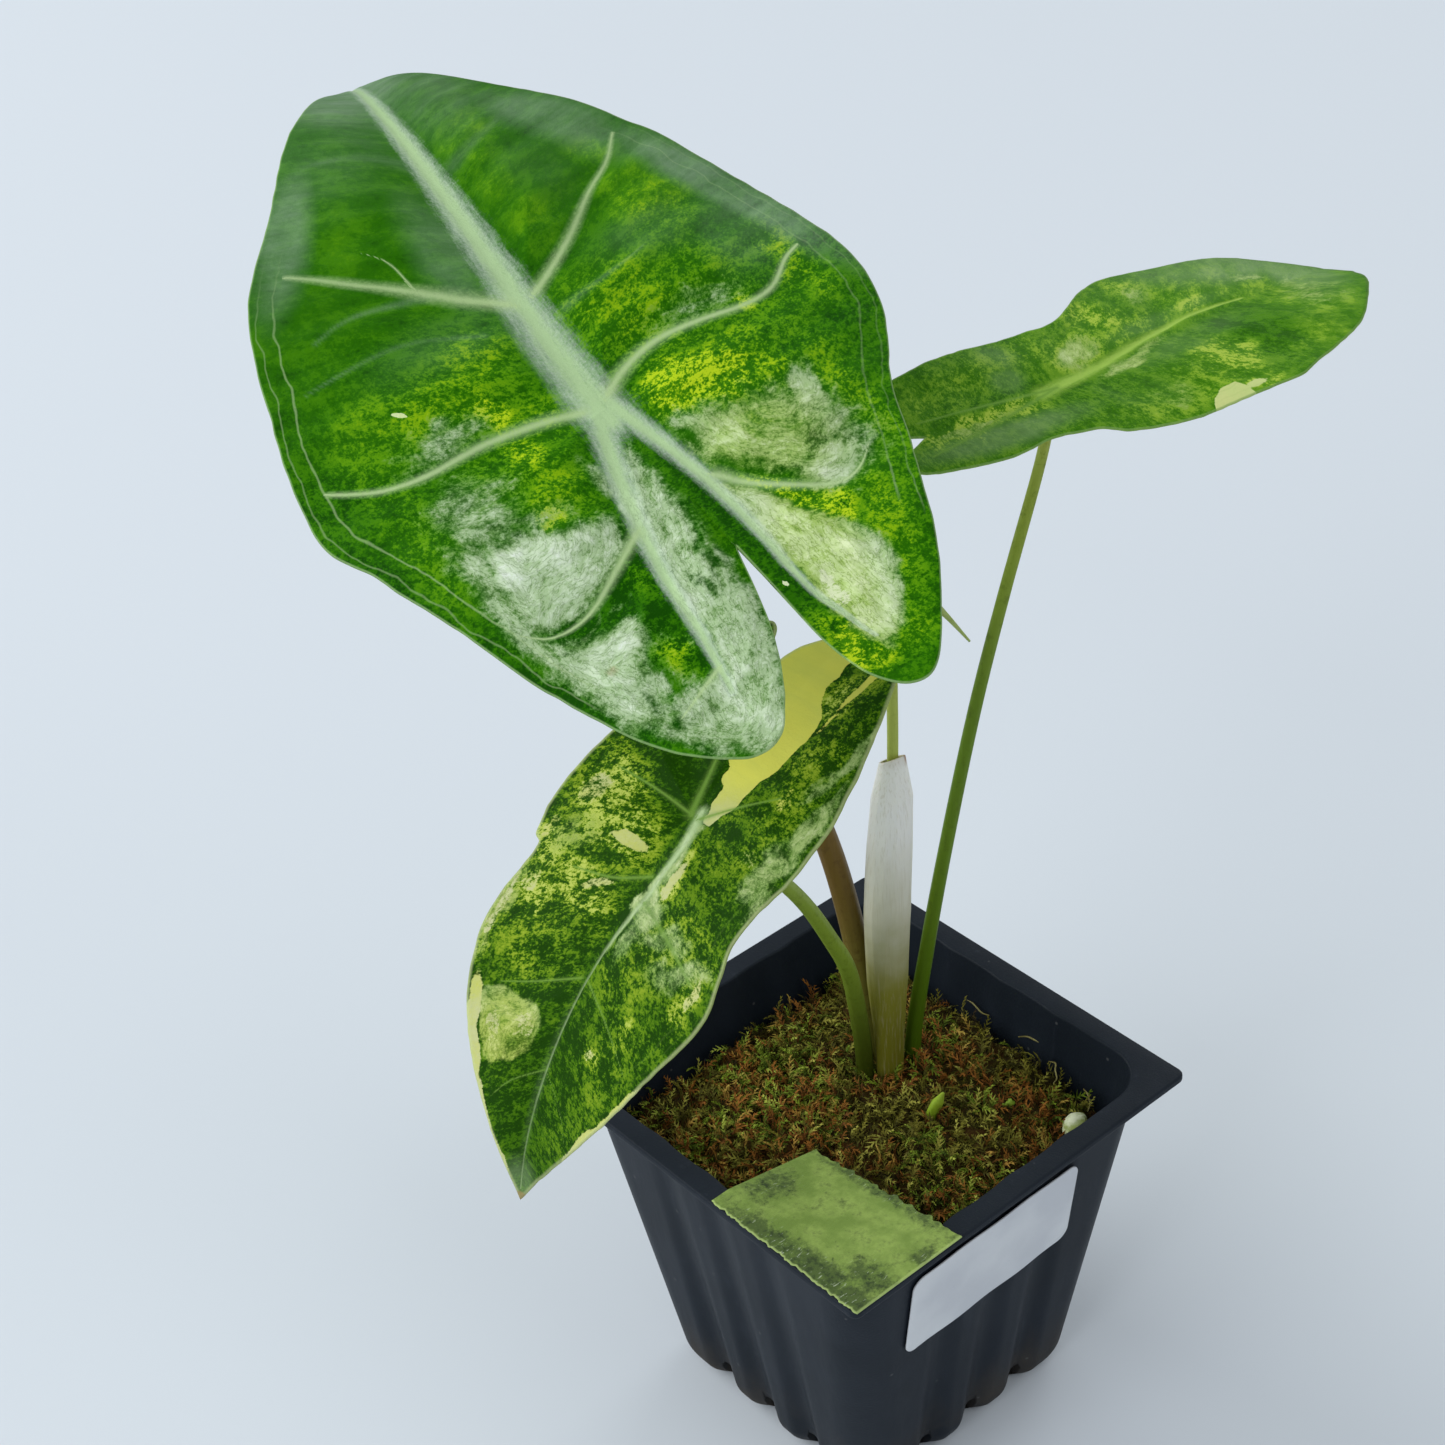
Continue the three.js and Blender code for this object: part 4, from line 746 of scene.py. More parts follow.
def growBlade(leaf):
    count = leaf["columns"]
    outline = np.vstack([evenLine(leaf[side], count // 2 + 1)[:-1] for side in ("right", "left")])
    turns = np.arange(count) / count
    inward = -outline / np.linalg.norm(outline, axis=1, keepdims=True)
    teeth = 0.20 * softNoise(turns * 60, turns * 0, 21) + 0.10 * softNoise(turns * 190, turns * 0, 22)
    margin = outline + inward * teeth[:, None]
    coarse = np.vstack([margin[::2], margin[:1]])

    def toMargin(flat):  # distance to the leaf's edge
        best = np.full(len(flat), 1e6)
        for first, last in zip(coarse[:-1], coarse[1:]):
            step = last - first
            along = np.clip(((flat - first) @ step) / (step @ step), 0, 1)
            away = flat - first - along[:, None] * step
            best = np.minimum(best, away[:, 0] ** 2 + away[:, 1] ** 2)
        best[-count:] = 0
        return np.sqrt(best)

    def layer(rings):  # flat places of one face, with their share of the way out and round
        share = np.concatenate([[0.0], np.repeat((np.arange(1, rings + 1) / rings) ** 0.85, count)])
        turn = np.concatenate([[0.0], np.tile(turns, rings)])
        flat = np.vstack([[[0.0, 0.0]], np.tile(margin, (rings, 1))]) * share[:, None]
        return flat, share, turn

    points, marks = [], []
    for side, rings in enumerate((leaf["rings"], leaf["underRings"])):
        flat, share, turn = layer(rings)
        edge = toMargin(flat)
        drift, ragged = (np.column_stack([softNoise(*(flat.T / size), seed) for seed in seeds])
                         for size, seeds in ((3.6, (31, 32)), (1.5, (33, 34))))
        spots = flat + 1.3 * drift + 0.6 * ragged
        fields = {key: patchField(spots, leaf[key]) for key in ("lime", "silverAndSheen", "deepGreenAndShade")}
        fields["cream"] = patchField(flat + 0.3 * drift + 0.25 * ragged, leaf["cream"])
        for key in fields:
            shapes = shapeField(flat + 0.6 * drift + 0.4 * ragged, leaf.get(key + "Fields", []))
            fields[key] = np.maximum(fields[key], shapes)
        silverAndSheen = fields["silverAndSheen"]
        # haze patches and bands are painted sheen, a reflection of the lights
        sheenBand, _ = distanceTo(flat, leaf.get("sheenBands", []))
        paintedSheen = np.maximum(patchField(flat, leaf["paintedSheen"]), 0.46 * np.exp(-0.5 * sheenBand ** 2))
        toVein, _ = distanceTo(flat, [(line, 1, 1) for line in leaf["puffVeins"]])
        costa, _ = distanceTo(flat, leaf["costae"])
        veinNear, veinSide = distanceTo(flat, leaf["veins"])
        height = bladeRelief(leaf, flat, share, turn, edge, silverAndSheen, toVein, costa)
        if side:  # the underside, with its raised ribs
            reach = np.clip(1 - flat[:, 0] / leaf["right"][0][0], 0, 1)
            ribs = leaf["rib"] * reach * np.exp(-((costa / 0.8) ** 2)) * (1 - share ** 4)
            ribs += 0.35 * leaf["rib"] * np.exp(-((veinNear / 1.4) ** 2)) * (1 - share ** 2)
            height = height - leaf["thickness"] * (0.5 + 0.5 * np.clip(edge / 6, 0, 1)) - ribs
        points.append(bladeSurface(leaf, flat[:, 0], flat[:, 1], height))
        marks.append({
            "flat": np.column_stack([flat, np.full(len(flat), side)]),
            "tones": np.column_stack([fields["lime"], silverAndSheen, fields["cream"]]),
            "moods": np.column_stack([fields["deepGreenAndShade"], paintedSheen, laneOf(leaf, flat)]),
            "lines": np.column_stack([costa, edge, np.minimum(toVein, edge)]),
            "veins": np.column_stack([veinSide, veinNear, patchField(flat, leaf.get("brown", []))]),
            "warm": patchField(flat, leaf["warm"]),
        })
    start = len(points[0])
    faces = capFaces(list(range(1, 1 + count)), 0, flip=True)
    faces += gridFaces(leaf["rings"], count, start=1)
    faces += capFaces(list(range(start + 1, start + 1 + count)), start)
    faces += gridFaces(leaf["underRings"], count, start=start + 1, flip=True)
    rim = [1 + (leaf["rings"] - 1) * count + i for i in range(count)]
    lowRim = [start + 1 + (leaf["underRings"] - 1) * count + i for i in range(count)]
    faces += [(rim[i], rim[(i + 1) % count], lowRim[(i + 1) % count], lowRim[i]) for i in range(count)]
    attributes = {key: np.concatenate([side[key] for side in marks]) for key in marks[0]}
    piece = addMesh(leaf["name"], np.vstack(points), faces, leafSkin(leaf), attributes)
    settle(piece, leaf["node"])
    print(leaf["name"], "has", len(faces), "faces")


for leaf in (leafOne, leafTwo, leafThree):
    growBlade(leaf)


# Stalks, sheath and furled leaf

def under(leaf, below):  # point straight under the place where the petiole meets the blade
    reach = leaf["solid"] + leaf["rib"] + 0.3 + below
    return tuple(np.array(leaf["junction"]) - bladeAxes(leaf)[2] * reach)


def tubeRings(path, radii, sides, steps, squeeze=1.0, shape=None):
    middles = splineThrough(path, steps + 1)
    ahead = np.gradient(middles, axis=0)
    ahead /= np.linalg.norm(ahead, axis=1, keepdims=True)
    side = np.array([1.0, 0, 0]) - ahead * ahead[:, :1]
    side /= np.linalg.norm(side, axis=1, keepdims=True)
    across = np.cross(ahead, side)
    along = np.linspace(0, 1, steps + 1)
    radius = np.interp(along, np.linspace(0, 1, len(radii)), radii)
    turn = np.arange(sides) / sides * 2 * np.pi
    size = radius[:, None] * (shape(along[:, None], turn[None, :]) if shape else np.ones((1, sides)))
    rings = (middles[:, None, :] + side[:, None, :] * (np.cos(turn) * size)[:, :, None]
             + across[:, None, :] * (np.sin(turn) * size * squeeze)[:, :, None])
    return rings, np.repeat(along, sides)


def closedTube(rings):
    rows, sides = rings.shape[:2]
    points = np.vstack([rings.reshape(-1, 3), rings[0].mean(0), rings[-1].mean(0)])
    last = (rows - 1) * sides
    faces = gridFaces(rows, sides)
    faces += capFaces(list(range(sides)), rows * sides, flip=True)
    faces += capFaces(list(range(last, last + sides)), rows * sides + 1)
    return points, faces


def ridged(along, turn):  # fine ridges, and a shallow groove on one side above the foot
    ridges = 0.018 * np.sin(turn * 9 + 2 * along) + 0.012 * np.sin(turn * 17 + 9 * along)
    groove = -0.10 * np.exp(-((np.mod(turn + 1.2, 2 * np.pi) - np.pi) / 0.35) ** 2)
    return 1 + ridges + groove * np.clip(along * 4, 0, 1)


def furled(along, turn):  # the rolled blade overlaps itself along a spiral seam
    rolled = np.clip((along - 0.35) / 0.12, 0, 1) * np.clip((0.97 - along) / 0.1, 0, 1)
    spiral = np.mod(turn + 9 * along, 2 * np.pi) / (2 * np.pi)
    return 1 + rolled * (0.20 * spiral - 0.08 + 0.02 * np.sin(40 * along + 5 * turn))


def drawStalk(stem, sides, steps, shape, squeeze=1.0):
    rings, along = tubeRings(stem["path"], stem["radii"], sides, steps, squeeze, shape)
    points, faces = closedTube(rings)
    piece = addMesh(stem["name"], points, faces, stem["skin"], {"along": np.concatenate([along, [0, 1]])})
    settle(piece, stem["node"])
    print(stem["name"], "drawn")


def stalkSkin(name, *screen):  # screen colours of the foot, the middle, the top and the flecks
    low, middle, high, spots = (tint(*colour) for colour in screen)

    def paint(tree):
        along = tree.attribute("along")
        place = tree.place()
        streaks = tree.noise(tree.stretch(place, (2400.0, 2400.0, 90.0)), 1.0, 4.0, 0.6)
        mottle = tree.noise(place, 620.0, 4.0, 0.65)
        colour = tree.blend(along.step(0.05, 0.42), low, middle)
        colour = tree.blend(along.step(0.45, 1.0), colour, high)
        colour = tree.blend(streaks.step(0.45, 0.75) * 0.4, colour, tree.blend(0.5, colour, spots))
        colour = tree.blend(mottle.step(0.52, 0.7) * 0.45, colour, spots)
        return {
            "Base Color": colour,
            "Roughness": 0.36 + 0.2 * mottle,
            "Specular IOR Level": 0.16,
            "Subsurface Weight": 0.06,
            "Subsurface Radius": (0.004, 0.006, 0.001),
            "Normal": tree.bump(streaks + 0.4 * mottle, 0.00012, 0.6),
        }

    return finish(name, paint)


crownZ = 52.3
petioleOne = {
    "name": "petioleOne", "node": "leaf_1_petiole", "slot": "petiole_brown",
    "path": [(11.4, 8.8, crownZ), (10.6, 8.8, 66), (9.2, 8.9, 80), (7.2, 9.2, 95), (2.6, 10.6, 117),
             (-7, 14.3, 145), (-17.5, 19, 170), under(leafOne, 16), under(leafOne, 5), under(leafOne, -0.1)],
    "radii": [2.3, 2.3, 2.25, 2.2, 2.1, 1.9, 1.8, 1.7, 1.7, 1.5],
    "skin": stalkSkin("tanPetiole", (132, 136, 62), (106, 84, 38), (120, 128, 66), (78, 60, 28)),
}
petioleTwo = {
    "name": "petioleTwo", "node": "leaf_2_petiole", "slot": "petiole_green",
    "path": [(6.6, 6.3, crownZ), (5.9, 5.6, 66), (3.4, 4.2, 80), (-0.3, 2.4, 93), (-5.4, 0.8, 103.5),
             (-13, -1.5, 117), (-22.5, -4.4, 130), under(leafTwo, 10), under(leafTwo, 3), under(leafTwo, 0)],
    "radii": [1.75, 1.6, 1.6, 1.5, 1.4, 1.3, 1.2, 1.2, 1.2, 1.1],
    "skin": stalkSkin("oliveGreyPetiole", (44, 54, 4), (118, 140, 44), (160, 182, 92), (74, 90, 22)),
}
petioleThree = {
    "name": "petioleThree", "node": "leaf_3_petiole", "slot": "petiole_green",
    "path": [(14.9, 3.2, crownZ), (15.7, 2.8, 68), (18, 1.6, 86), (21.2, 0, 107), (26.2, -2.8, 137),
             (30.6, -5.1, 158), under(leafThree, 14), under(leafThree, 4), under(leafThree, -0.1)],
    "radii": [1.6, 1.45, 1.35, 1.25, 1.15, 1.05, 0.95, 0.95, 0.9],
    "skin": stalkSkin("freshPetiole", (60, 86, 5), (94, 124, 23), (182, 190, 84), (76, 94, 16)),
}
furledLeaf = {
    "name": "furledLeaf", "node": "new_leaf", "slot": "young_green",
    "path": [(12.3, 3.4, 122), (13.2, 3.9, 128), (13.9, 4.3, 141), (15, 5.6, 149.5), (18.4, 7.8, 156),
             (23.6, 9.5, 156.2), (27.8, 9.9, 151.8), (31, 9, 147.5), (33.3, 5.4, 142.5)],
    "radii": [0.9, 0.95, 0.95, 1.2, 2.1, 2, 1, 0.5, 0.2],
    "skin": stalkSkin("youngGreen", (160, 172, 78), (164, 178, 84), (164, 180, 110), (134, 146, 62)),
}
for stem in (petioleOne, petioleTwo, petioleThree):
    drawStalk(stem, 28, 130, ridged)
drawStalk(furledLeaf, 32, 150, furled)

sheath = {
    "path": [(10, 3.4, crownZ), (10, 3.2, 71.5), (9.9, 3.1, 84), (10, 2.8, 99), (10.9, 2.8, 112),
             (12.2, 3.2, 122.5), (13.6, 4.1, 131.5)],
    "radii": [2.4, 3.0, 4.0, 4.5, 4.35, 3.9, 1.9], "squeeze": 0.8,
    "mouth": (13.2, 3.9, 129.3), "tilt": -30, "turn": -105, "sides": 96, "steps": 220, "rows": 200,
    "wall": 0.35, "lipDepths": (0, 3, 8, 16, 26),  # rings down the inside, counted in steps below the mouth
}


def paintSheath(tree):
    along = tree.attribute("along")
    turn = tree.attribute("turn")
    place = tree.place()
    fibres = tree.noise(tree.stretch(place, (3200.0, 3200.0, 110.0)), 1.0, 4.0, 0.62)
    cloud = tree.noise(place, 210.0, 3.0, 0.5)
    low = tree.blend(along.step(0.04, 0.36), tint(100, 99, 10), tint(122, 121, 36))
    colour = tree.blend((along + 0.12 * (cloud - 0.5)).step(0.29, 0.61), low, tint(198, 197, 178))
    colour = tree.blend((along + 0.1 * (cloud - 0.5)).step(0.53, 0.80), colour, tint(228, 228, 222))
    colour = tree.blend(fibres.step(0.5, 0.72) * 0.35, colour, tint(168, 160, 128))
    corner = 1 - 0.85 * (turn - 0.89).size().step(0.03, 0.10)  # the brown spot is on one corner of the tip
    dry = (along + 0.02 * (fibres - 0.5)).step(0.930, 0.965)
    colour = tree.blend(dry * corner, colour, tint(140, 100, 68))
    colour = tree.blend(tree.attribute("inside") * 0.8, colour, tint(170, 158, 120))
    return {
        "Base Color": colour,
        "Roughness": 0.45 + 0.25 * fibres,
        "Specular IOR Level": 0.35,
        "Subsurface Weight": 0.12,
        "Subsurface Radius": (0.006, 0.005, 0.003),
        "Normal": tree.bump(fibres + 0.5 * cloud, 0.00022, 0.7),
    }


def drawSheath():
    sides, steps, rows = sheath["sides"], sheath["steps"], sheath["rows"]

    def shape(along, turn):  # long fibres, and a seam where one edge wraps over the other
        seam = 0.05 * np.exp(-((np.mod(turn - 1.9, 2 * np.pi) - np.pi) / 0.10) ** 2)
        return 1 + 0.010 * np.sin(turn * 13 + 3 * along) + seam * np.clip(2 * along - 0.6, 0, 1)

    def lineAt(line, places):  # points of a line, at places counted in steps
        return np.stack([np.interp(places, np.arange(steps + 1), line[:, axis]) for axis in range(3)], 1)

    rings, _ = tubeRings(sheath["path"], sheath["radii"], sides, steps, sheath["squeeze"], shape)
    tilt, turn = math.radians(sheath["tilt"]), math.radians(sheath["turn"])
    normal = np.array([math.sin(tilt) * math.cos(turn), math.sin(tilt) * math.sin(turn), math.cos(tilt)])
    over = (rings - np.array(sheath["mouth"])) @ normal
    reach = np.linspace(0, 1, rows) ** 0.9
    outer, ends = [], []
    for column in range(sides):  # each side line ends where it meets the slanted mouth
        height = over[:, column]
        above = np.nonzero(height > 0)[0]
        last = steps
        if len(above):
            last = above[0] - height[above[0]] / (height[above[0]] - height[above[0] - 1])
        outer.append(lineAt(rings[:, column], reach * last))
        ends.append(last)
    ends = np.array(ends)
    centre = splineThrough(sheath["path"], steps + 1)
    inner = []
    for depth in sheath["lipDepths"]:
        middle = lineAt(centre, ends - depth)
        line = np.vstack([lineAt(rings[:, column], [end - depth]) for column, end in enumerate(ends)])
        share = 1 - (sheath["wall"] + 0.02 * depth) / np.linalg.norm(line - middle, axis=1, keepdims=True)
        inner.append(middle + (line - middle) * np.clip(share, 0.3, 1))
    points, faces = closedTube(np.concatenate([np.array(outer).transpose(1, 0, 2), np.array(inner)]))
    along = np.concatenate([np.outer(reach, ends / steps), np.tile(ends / steps, (len(inner), 1))]).ravel()
    inside = np.concatenate([np.zeros(rows * sides), np.ones(len(inner) * sides)])
    turns = np.tile(np.arange(sides) / sides, rows + len(inner))
    piece = addMesh("paperySheath", points, faces, finish("paperySheath", paintSheath), {
        "along": np.concatenate([along, [0, 0.8]]), "inside": np.concatenate([inside, [0, 1]]),
        "turn": np.concatenate([turns, [0, 0]])})
    settle(piece, "sheath")
    print("sheath drawn")


drawSheath()


# Pot: one lofted shell from the foot over the rim and down the inside

pot = {
    "height": 70, "rimHalf": 40, "rimThickness": 1.6, "rimCorner": 1.6, "wallTop": 36.8, "wallBottom": 27,
    "wall": 1.2, "floor": 1.6, "cornerTop": 9, "cornerBottom": 8, "footRound": 5, "footInset": 3.4,
    "flutes": (-13, 0, 13), "fluteWidth": 9.5, "fluteTop": 0.3, "fluteBottom": 2.4, "columns": 90, "arc": 16,
    "edge": 0.45, "drainRadius": 2.6, "drainRing": 15, "slot": (3.4, 6, 4.6), "slotMiddle": 3.3, "slotIn": 4,
    "holeSides": 40, "cornerHoleTurn": 45,
}


def squareRing(half, corner, z, depth=0.0):  # rounded square, with fluted faces
    straight = half - corner
    along = np.linspace(-straight, straight, pot["columns"], endpoint=False)
    groove = np.zeros(pot["columns"])
    spread = (straight / (pot["wallTop"] - pot["cornerTop"])) ** 0.3
    for centre in pot["flutes"]:
        away = np.abs(along - centre * spread) / (pot["fluteWidth"] / 2)
        groove = np.maximum(groove, np.where(away < 1, np.cos(np.minimum(away, 1) * np.pi / 2) ** 2, 0))
    angle = -np.pi / 2 + np.arange(pot["arc"]) / pot["arc"] * np.pi / 2
    x = np.concatenate([along, straight + corner * np.cos(angle)])
    y = np.concatenate([-half + depth * groove, -straight + corner * np.sin(angle)])
    ring = []
    for c, s in ((1, 0), (0, 1), (-1, 0), (0, -1)):  # one face and its corner, turned a quarter each time
        ring.append(np.column_stack([x * c - y * s, x * s + y * c, np.full(len(x), z)]))
    return np.vstack(ring)


def wallRing(z, inset):
    share = z / pot["height"]
    half = pot["wallBottom"] + (pot["wallTop"] - pot["wallBottom"]) * share - inset
    corner = pot["cornerBottom"] + (pot["cornerTop"] - pot["cornerBottom"]) * share - inset * 0.5
    depth = pot["fluteBottom"] + (pot["fluteTop"] - pot["fluteBottom"]) * share ** 0.7
    return squareRing(half, corner, z, depth)


def paintPot(tree):
    place = tree.place()
    height = tree.split(place)[2]
    grain = tree.noise(place, 2600.0, 3.0, 0.6)
    cloud = tree.noise(place, 46.0, 4.0, 0.6)
    scuffs = tree.noise(tree.stretch(place, (260.0, 260.0, 30.0)), 1.0, 5.0, 0.7)
    low = (0.022 - height) * 46 + 0.9 * (scuffs - 0.5)  # dust gathers near the foot
    dust = low.step(0.1, 1.1) * cloud.step(0.35, 0.62)
    specks = tree.add("ShaderNodeTexVoronoi", {}, {"Vector": place, "Scale": 170.0})
    specks = 1 - specks.step(0.03, 0.07)
    colour = tree.blend(cloud.step(0.3, 0.7), tint(26, 32, 39), tint(32, 38, 46))
    colour = tree.blend(scuffs.step(0.58, 0.8) * 0.35, colour, tint(58, 64, 74))
    colour = tree.blend(dust * 0.5, colour, tint(86, 78, 66))
    colour = tree.blend(specks * 0.35, colour, tint(104, 106, 106))
    return {
        "Base Color": colour,
        "Roughness": 0.38 + 0.14 * scuffs + 0.25 * dust,
        "Specular IOR Level": 0.08,
        "Normal": tree.bump(grain + 1.5 * scuffs, 0.00006, 0.8),
    }


def drawPot():
    top, floor, wall = pot["height"], pot["floor"], pot["wall"]
    edge, half, corner = pot["edge"], pot["rimHalf"], pot["rimCorner"]
    flange = top - pot["rimThickness"]
    rings = []
    for share in np.linspace(0, 1, 14) ** 1.3:  # rounded foot
        inset = pot["footInset"] * (1 - math.sqrt(1 - (1 - share) ** 2))
        rings.append(wallRing(share * pot["footRound"], inset))
    rings += [wallRing(z, 0) for z in np.linspace(pot["footRound"], flange, 26)[1:]]
    quarter = np.linspace(0, np.pi / 2, 6)
    rounding = [(edge * (1 - math.sin(turn)), edge * (1 - math.cos(turn))) for turn in quarter]
    rings += [squareRing(half - a, corner, flange + b) for a, b in rounding]  # lower edge of the rim
    rings += [squareRing(half - b, corner, top - a) for a, b in rounding]  # upper edge
    rings += [wallRing(top - b, wall - a) for a, b in rounding]  # inner edge, and down the inside
    rings += [wallRing(z, wall) for z in np.linspace(top - edge, floor + 3, 22)[1:]]
    rings += [wallRing(floor, wall + 2.2)]
    points, faces = closedTube(np.array(rings))
    points[-2] = (0, 0, 0)
    points[-1] = (0, 0, floor)
    shell = addMesh("nurseryPot", points, faces, finish("slatePlastic", paintPot))
    group = bpy.data.collections.new("potCuts")

    def cut(name, corners, sides, turn):
        mesh = bpy.data.meshes.new(name)
        mesh.from_pydata([tuple(v * mm for v in place) for place in corners], [], sides)
        mesh.transform(turn)
        group.objects.link(bpy.data.objects.new(name, mesh))

    count, radius = pot["holeSides"], pot["drainRadius"]
    ring = [(pot["drainRing"] + radius * math.cos(a), radius * math.sin(a), z)
            for z in (-3, 6) for a in np.arange(count) * 2 * math.pi / count]
    tube = [(i, (i + 1) % count, count + (i + 1) % count, count + i) for i in range(count)]
    tube += [tuple(range(count - 1, -1, -1)), tuple(range(count, 2 * count))]
    wide, long, tall = pot["slot"]
    box = [(3, 2, 1, 0), (4, 5, 6, 7), (0, 1, 5, 4), (1, 2, 6, 5), (2, 3, 7, 6), (3, 0, 4, 7)]
    for face in range(4):
        turn = Matrix.Rotation(face * math.pi / 2, 4, "Z")
        cut("hole", ring, tube, turn @ Matrix.Rotation(math.radians(pot["cornerHoleTurn"]), 4, "Z"))
        for centre in pot["flutes"]:
            corners = [(centre * 0.9 + sx * wide / 2, -pot["wallBottom"] + pot["slotIn"] + sy * long / 2,
                        pot["slotMiddle"] + sz * tall / 2)
                       for sz in (-1, 1) for sx, sy in ((-1, -1), (1, -1), (1, 1), (-1, 1))]
            cut("slot", corners, box, turn)
    cutting = shell.modifiers.new("cuts", "BOOLEAN")
    cutting.operation = "DIFFERENCE"
    cutting.operand_type = "COLLECTION"
    cutting.collection = group
    cutting.solver = "EXACT"
    bake(shell)
    for holder in list(group.objects):
        bpy.data.objects.remove(holder)
    bpy.data.collections.remove(group)
    settle(shell, "pot")
    print("pot has", len(shell.data.polygons), "faces")


drawPot()


# Moss: a rough mat, and shoots of several colours strewn over it

moss = {
    "edgeTop": 57.5, "dome": 4.6, "crownX": 5, "outlineZ": 54, "footZ": 52.4, "wallGap": 1.1, "rings": 64,
    "insideHalf": 33.8, "wallPress": 0.5, "tapeX": -15.5, "tapeY": -5.0, "seed": 7,
    # shoots per square millimetre, least and most size, tilt, colours low and high, field that thins them,
    # and the leaflets, length, arch and spread of one shoot
    "kinds": {
        "mossOlive": (0.90, 0.65, 1.50, 1.0, tint(64, 62, 14), tint(120, 114, 32), "olive",
                      (9, 4.6, 1.15, 1.15)),
        "mossFresh": (0.70, 0.60, 1.45, 0.9, tint(58, 76, 10), tint(128, 150, 36), "fresh",
                      (9, 4.0, 1.4, 1.0)),
        "mossRust": (0.85, 0.65, 1.50, 1.1, tint(88, 54, 16), tint(158, 102, 36), "rust",
                     (8, 4.4, 1.0, 1.25)),
        "mossDark": (0.30, 0.50, 0.95, 1.2, tint(26, 22, 7), tint(64, 50, 16), "dark",
                     (7, 3.6, 0.9, 1.0)),
    },
}


def mossHeight(x, y):
    fromCrown = np.hypot(x - moss["crownX"], y) / pot["wallTop"]
    dome = moss["dome"] * np.maximum(0, 1 - fromCrown ** 2)
    hummocks = (0.7 * np.sin(x * 0.42 + 1.3) * np.sin(y * 0.37 + 0.4) + 0.45 * np.sin(x * 0.91 - y * 0.63)
                + 0.3 * np.sin(y * 1.37 + x * 0.55 + 2))
    return moss["edgeTop"] + dome + hummocks


def paintMat(tree):
    place = tree.place()
    crumb = tree.noise(place, 900.0, 5.0, 0.7)
    cloud = tree.noise(place, 150.0, 3.0, 0.6)
    colour = tree.blend(cloud.step(0.4, 0.6), tint(48, 42, 12), tint(68, 44, 14))
    colour = tree.blend(crumb.step(0.5, 0.7), colour, tint(92, 84, 24))
    return {"Base Color": colour, "Roughness": 0.9, "Specular IOR Level": 0.15,
            "Normal": tree.bump(crumb, 0.0008, 1.0)}


def drawMat():
    outline = wallRing(moss["outlineZ"], pot["wall"] + moss["wallGap"])[:, :2]
    shares = np.linspace(1, 0.02, moss["rings"])
    flat = outline[None] * shares[:, None, None]
    x, y = flat[..., 0], flat[..., 1]
    crumbs = 0.5 * softNoise(x / 1.7, y / 1.7, 31) + 0.35 * softNoise(x / 0.9, y / 0.9, 32)
    z = mossHeight(x, y) + crumbs - 1.5 * np.clip((shares[:, None] - 0.955) / 0.045, 0, 1) ** 2
    foot = np.dstack([flat[:1] * 0.97, np.full(x[:1].shape, moss["footZ"])])
    points, faces = closedTube(np.concatenate([foot, np.dstack([flat, z])]))
    mat = addMesh("mossMat", points, faces, finish("mossMat", paintMat))
    settle(mat, "moss")
    return mat


def mossShoot(name, skin, leaflets, length, arch, spread):  # thin stem with pointed leaflets on both sides
    path = [np.array([length * 0.75 * t ** 1.3, 0.0, length * (arch * t - (arch - 0.35) * t * t) - 0.9])
            for t in np.linspace(0, 1, leaflets + 2)]
    points, faces, tips = [], [], []

    def spike(base, ahead, wide, tip, low, high):
        ahead = ahead / np.linalg.norm(ahead)
        side = np.cross(ahead, (0.3, 0.2, 1.0))
        side /= np.linalg.norm(side)
        lift = np.cross(side, ahead)
        start = len(points)
        points.extend([base + side * wide, base - side * wide * 0.5 + lift * wide * 0.6,
                       base - side * wide * 0.5 - lift * wide * 0.6, tip])
        corners = ((0, 1, 2), (1, 0, 3), (2, 1, 3), (0, 2, 3))
        faces.extend([tuple(start + corner for corner in face) for face in corners])
        tips.extend([low, low, low, high])

    for i in range(0, len(path) - 1, 3):
        end = path[min(i + 4, len(path) - 1)]
        spike(path[i], end - path[i], 0.13, end, i / leaflets, min(1, (i + 3) / leaflets))
    for i in range(1, leaflets + 1):
        share = i / leaflets
        reach = spread * (1 - 0.6 * share ** 2) * (0.7 + 0.3 * math.sin(i * 2.4))
        side = 1 if i % 2 else -1
        along = path[i + 1] - path[i]
        along /= np.linalg.norm(along)
        tip = path[i] + along * reach * 0.9 + np.array([0, side * reach, 0.12 * reach * math.sin(i * 1.7)])
        spike(path[i] - along * 0.1, tip - path[i], 0.17, tip, share * 0.8, min(1.0, share + 0.25))
    return addMesh(name, points, faces, skin, {"tip": np.array(tips)}, smooth=False)


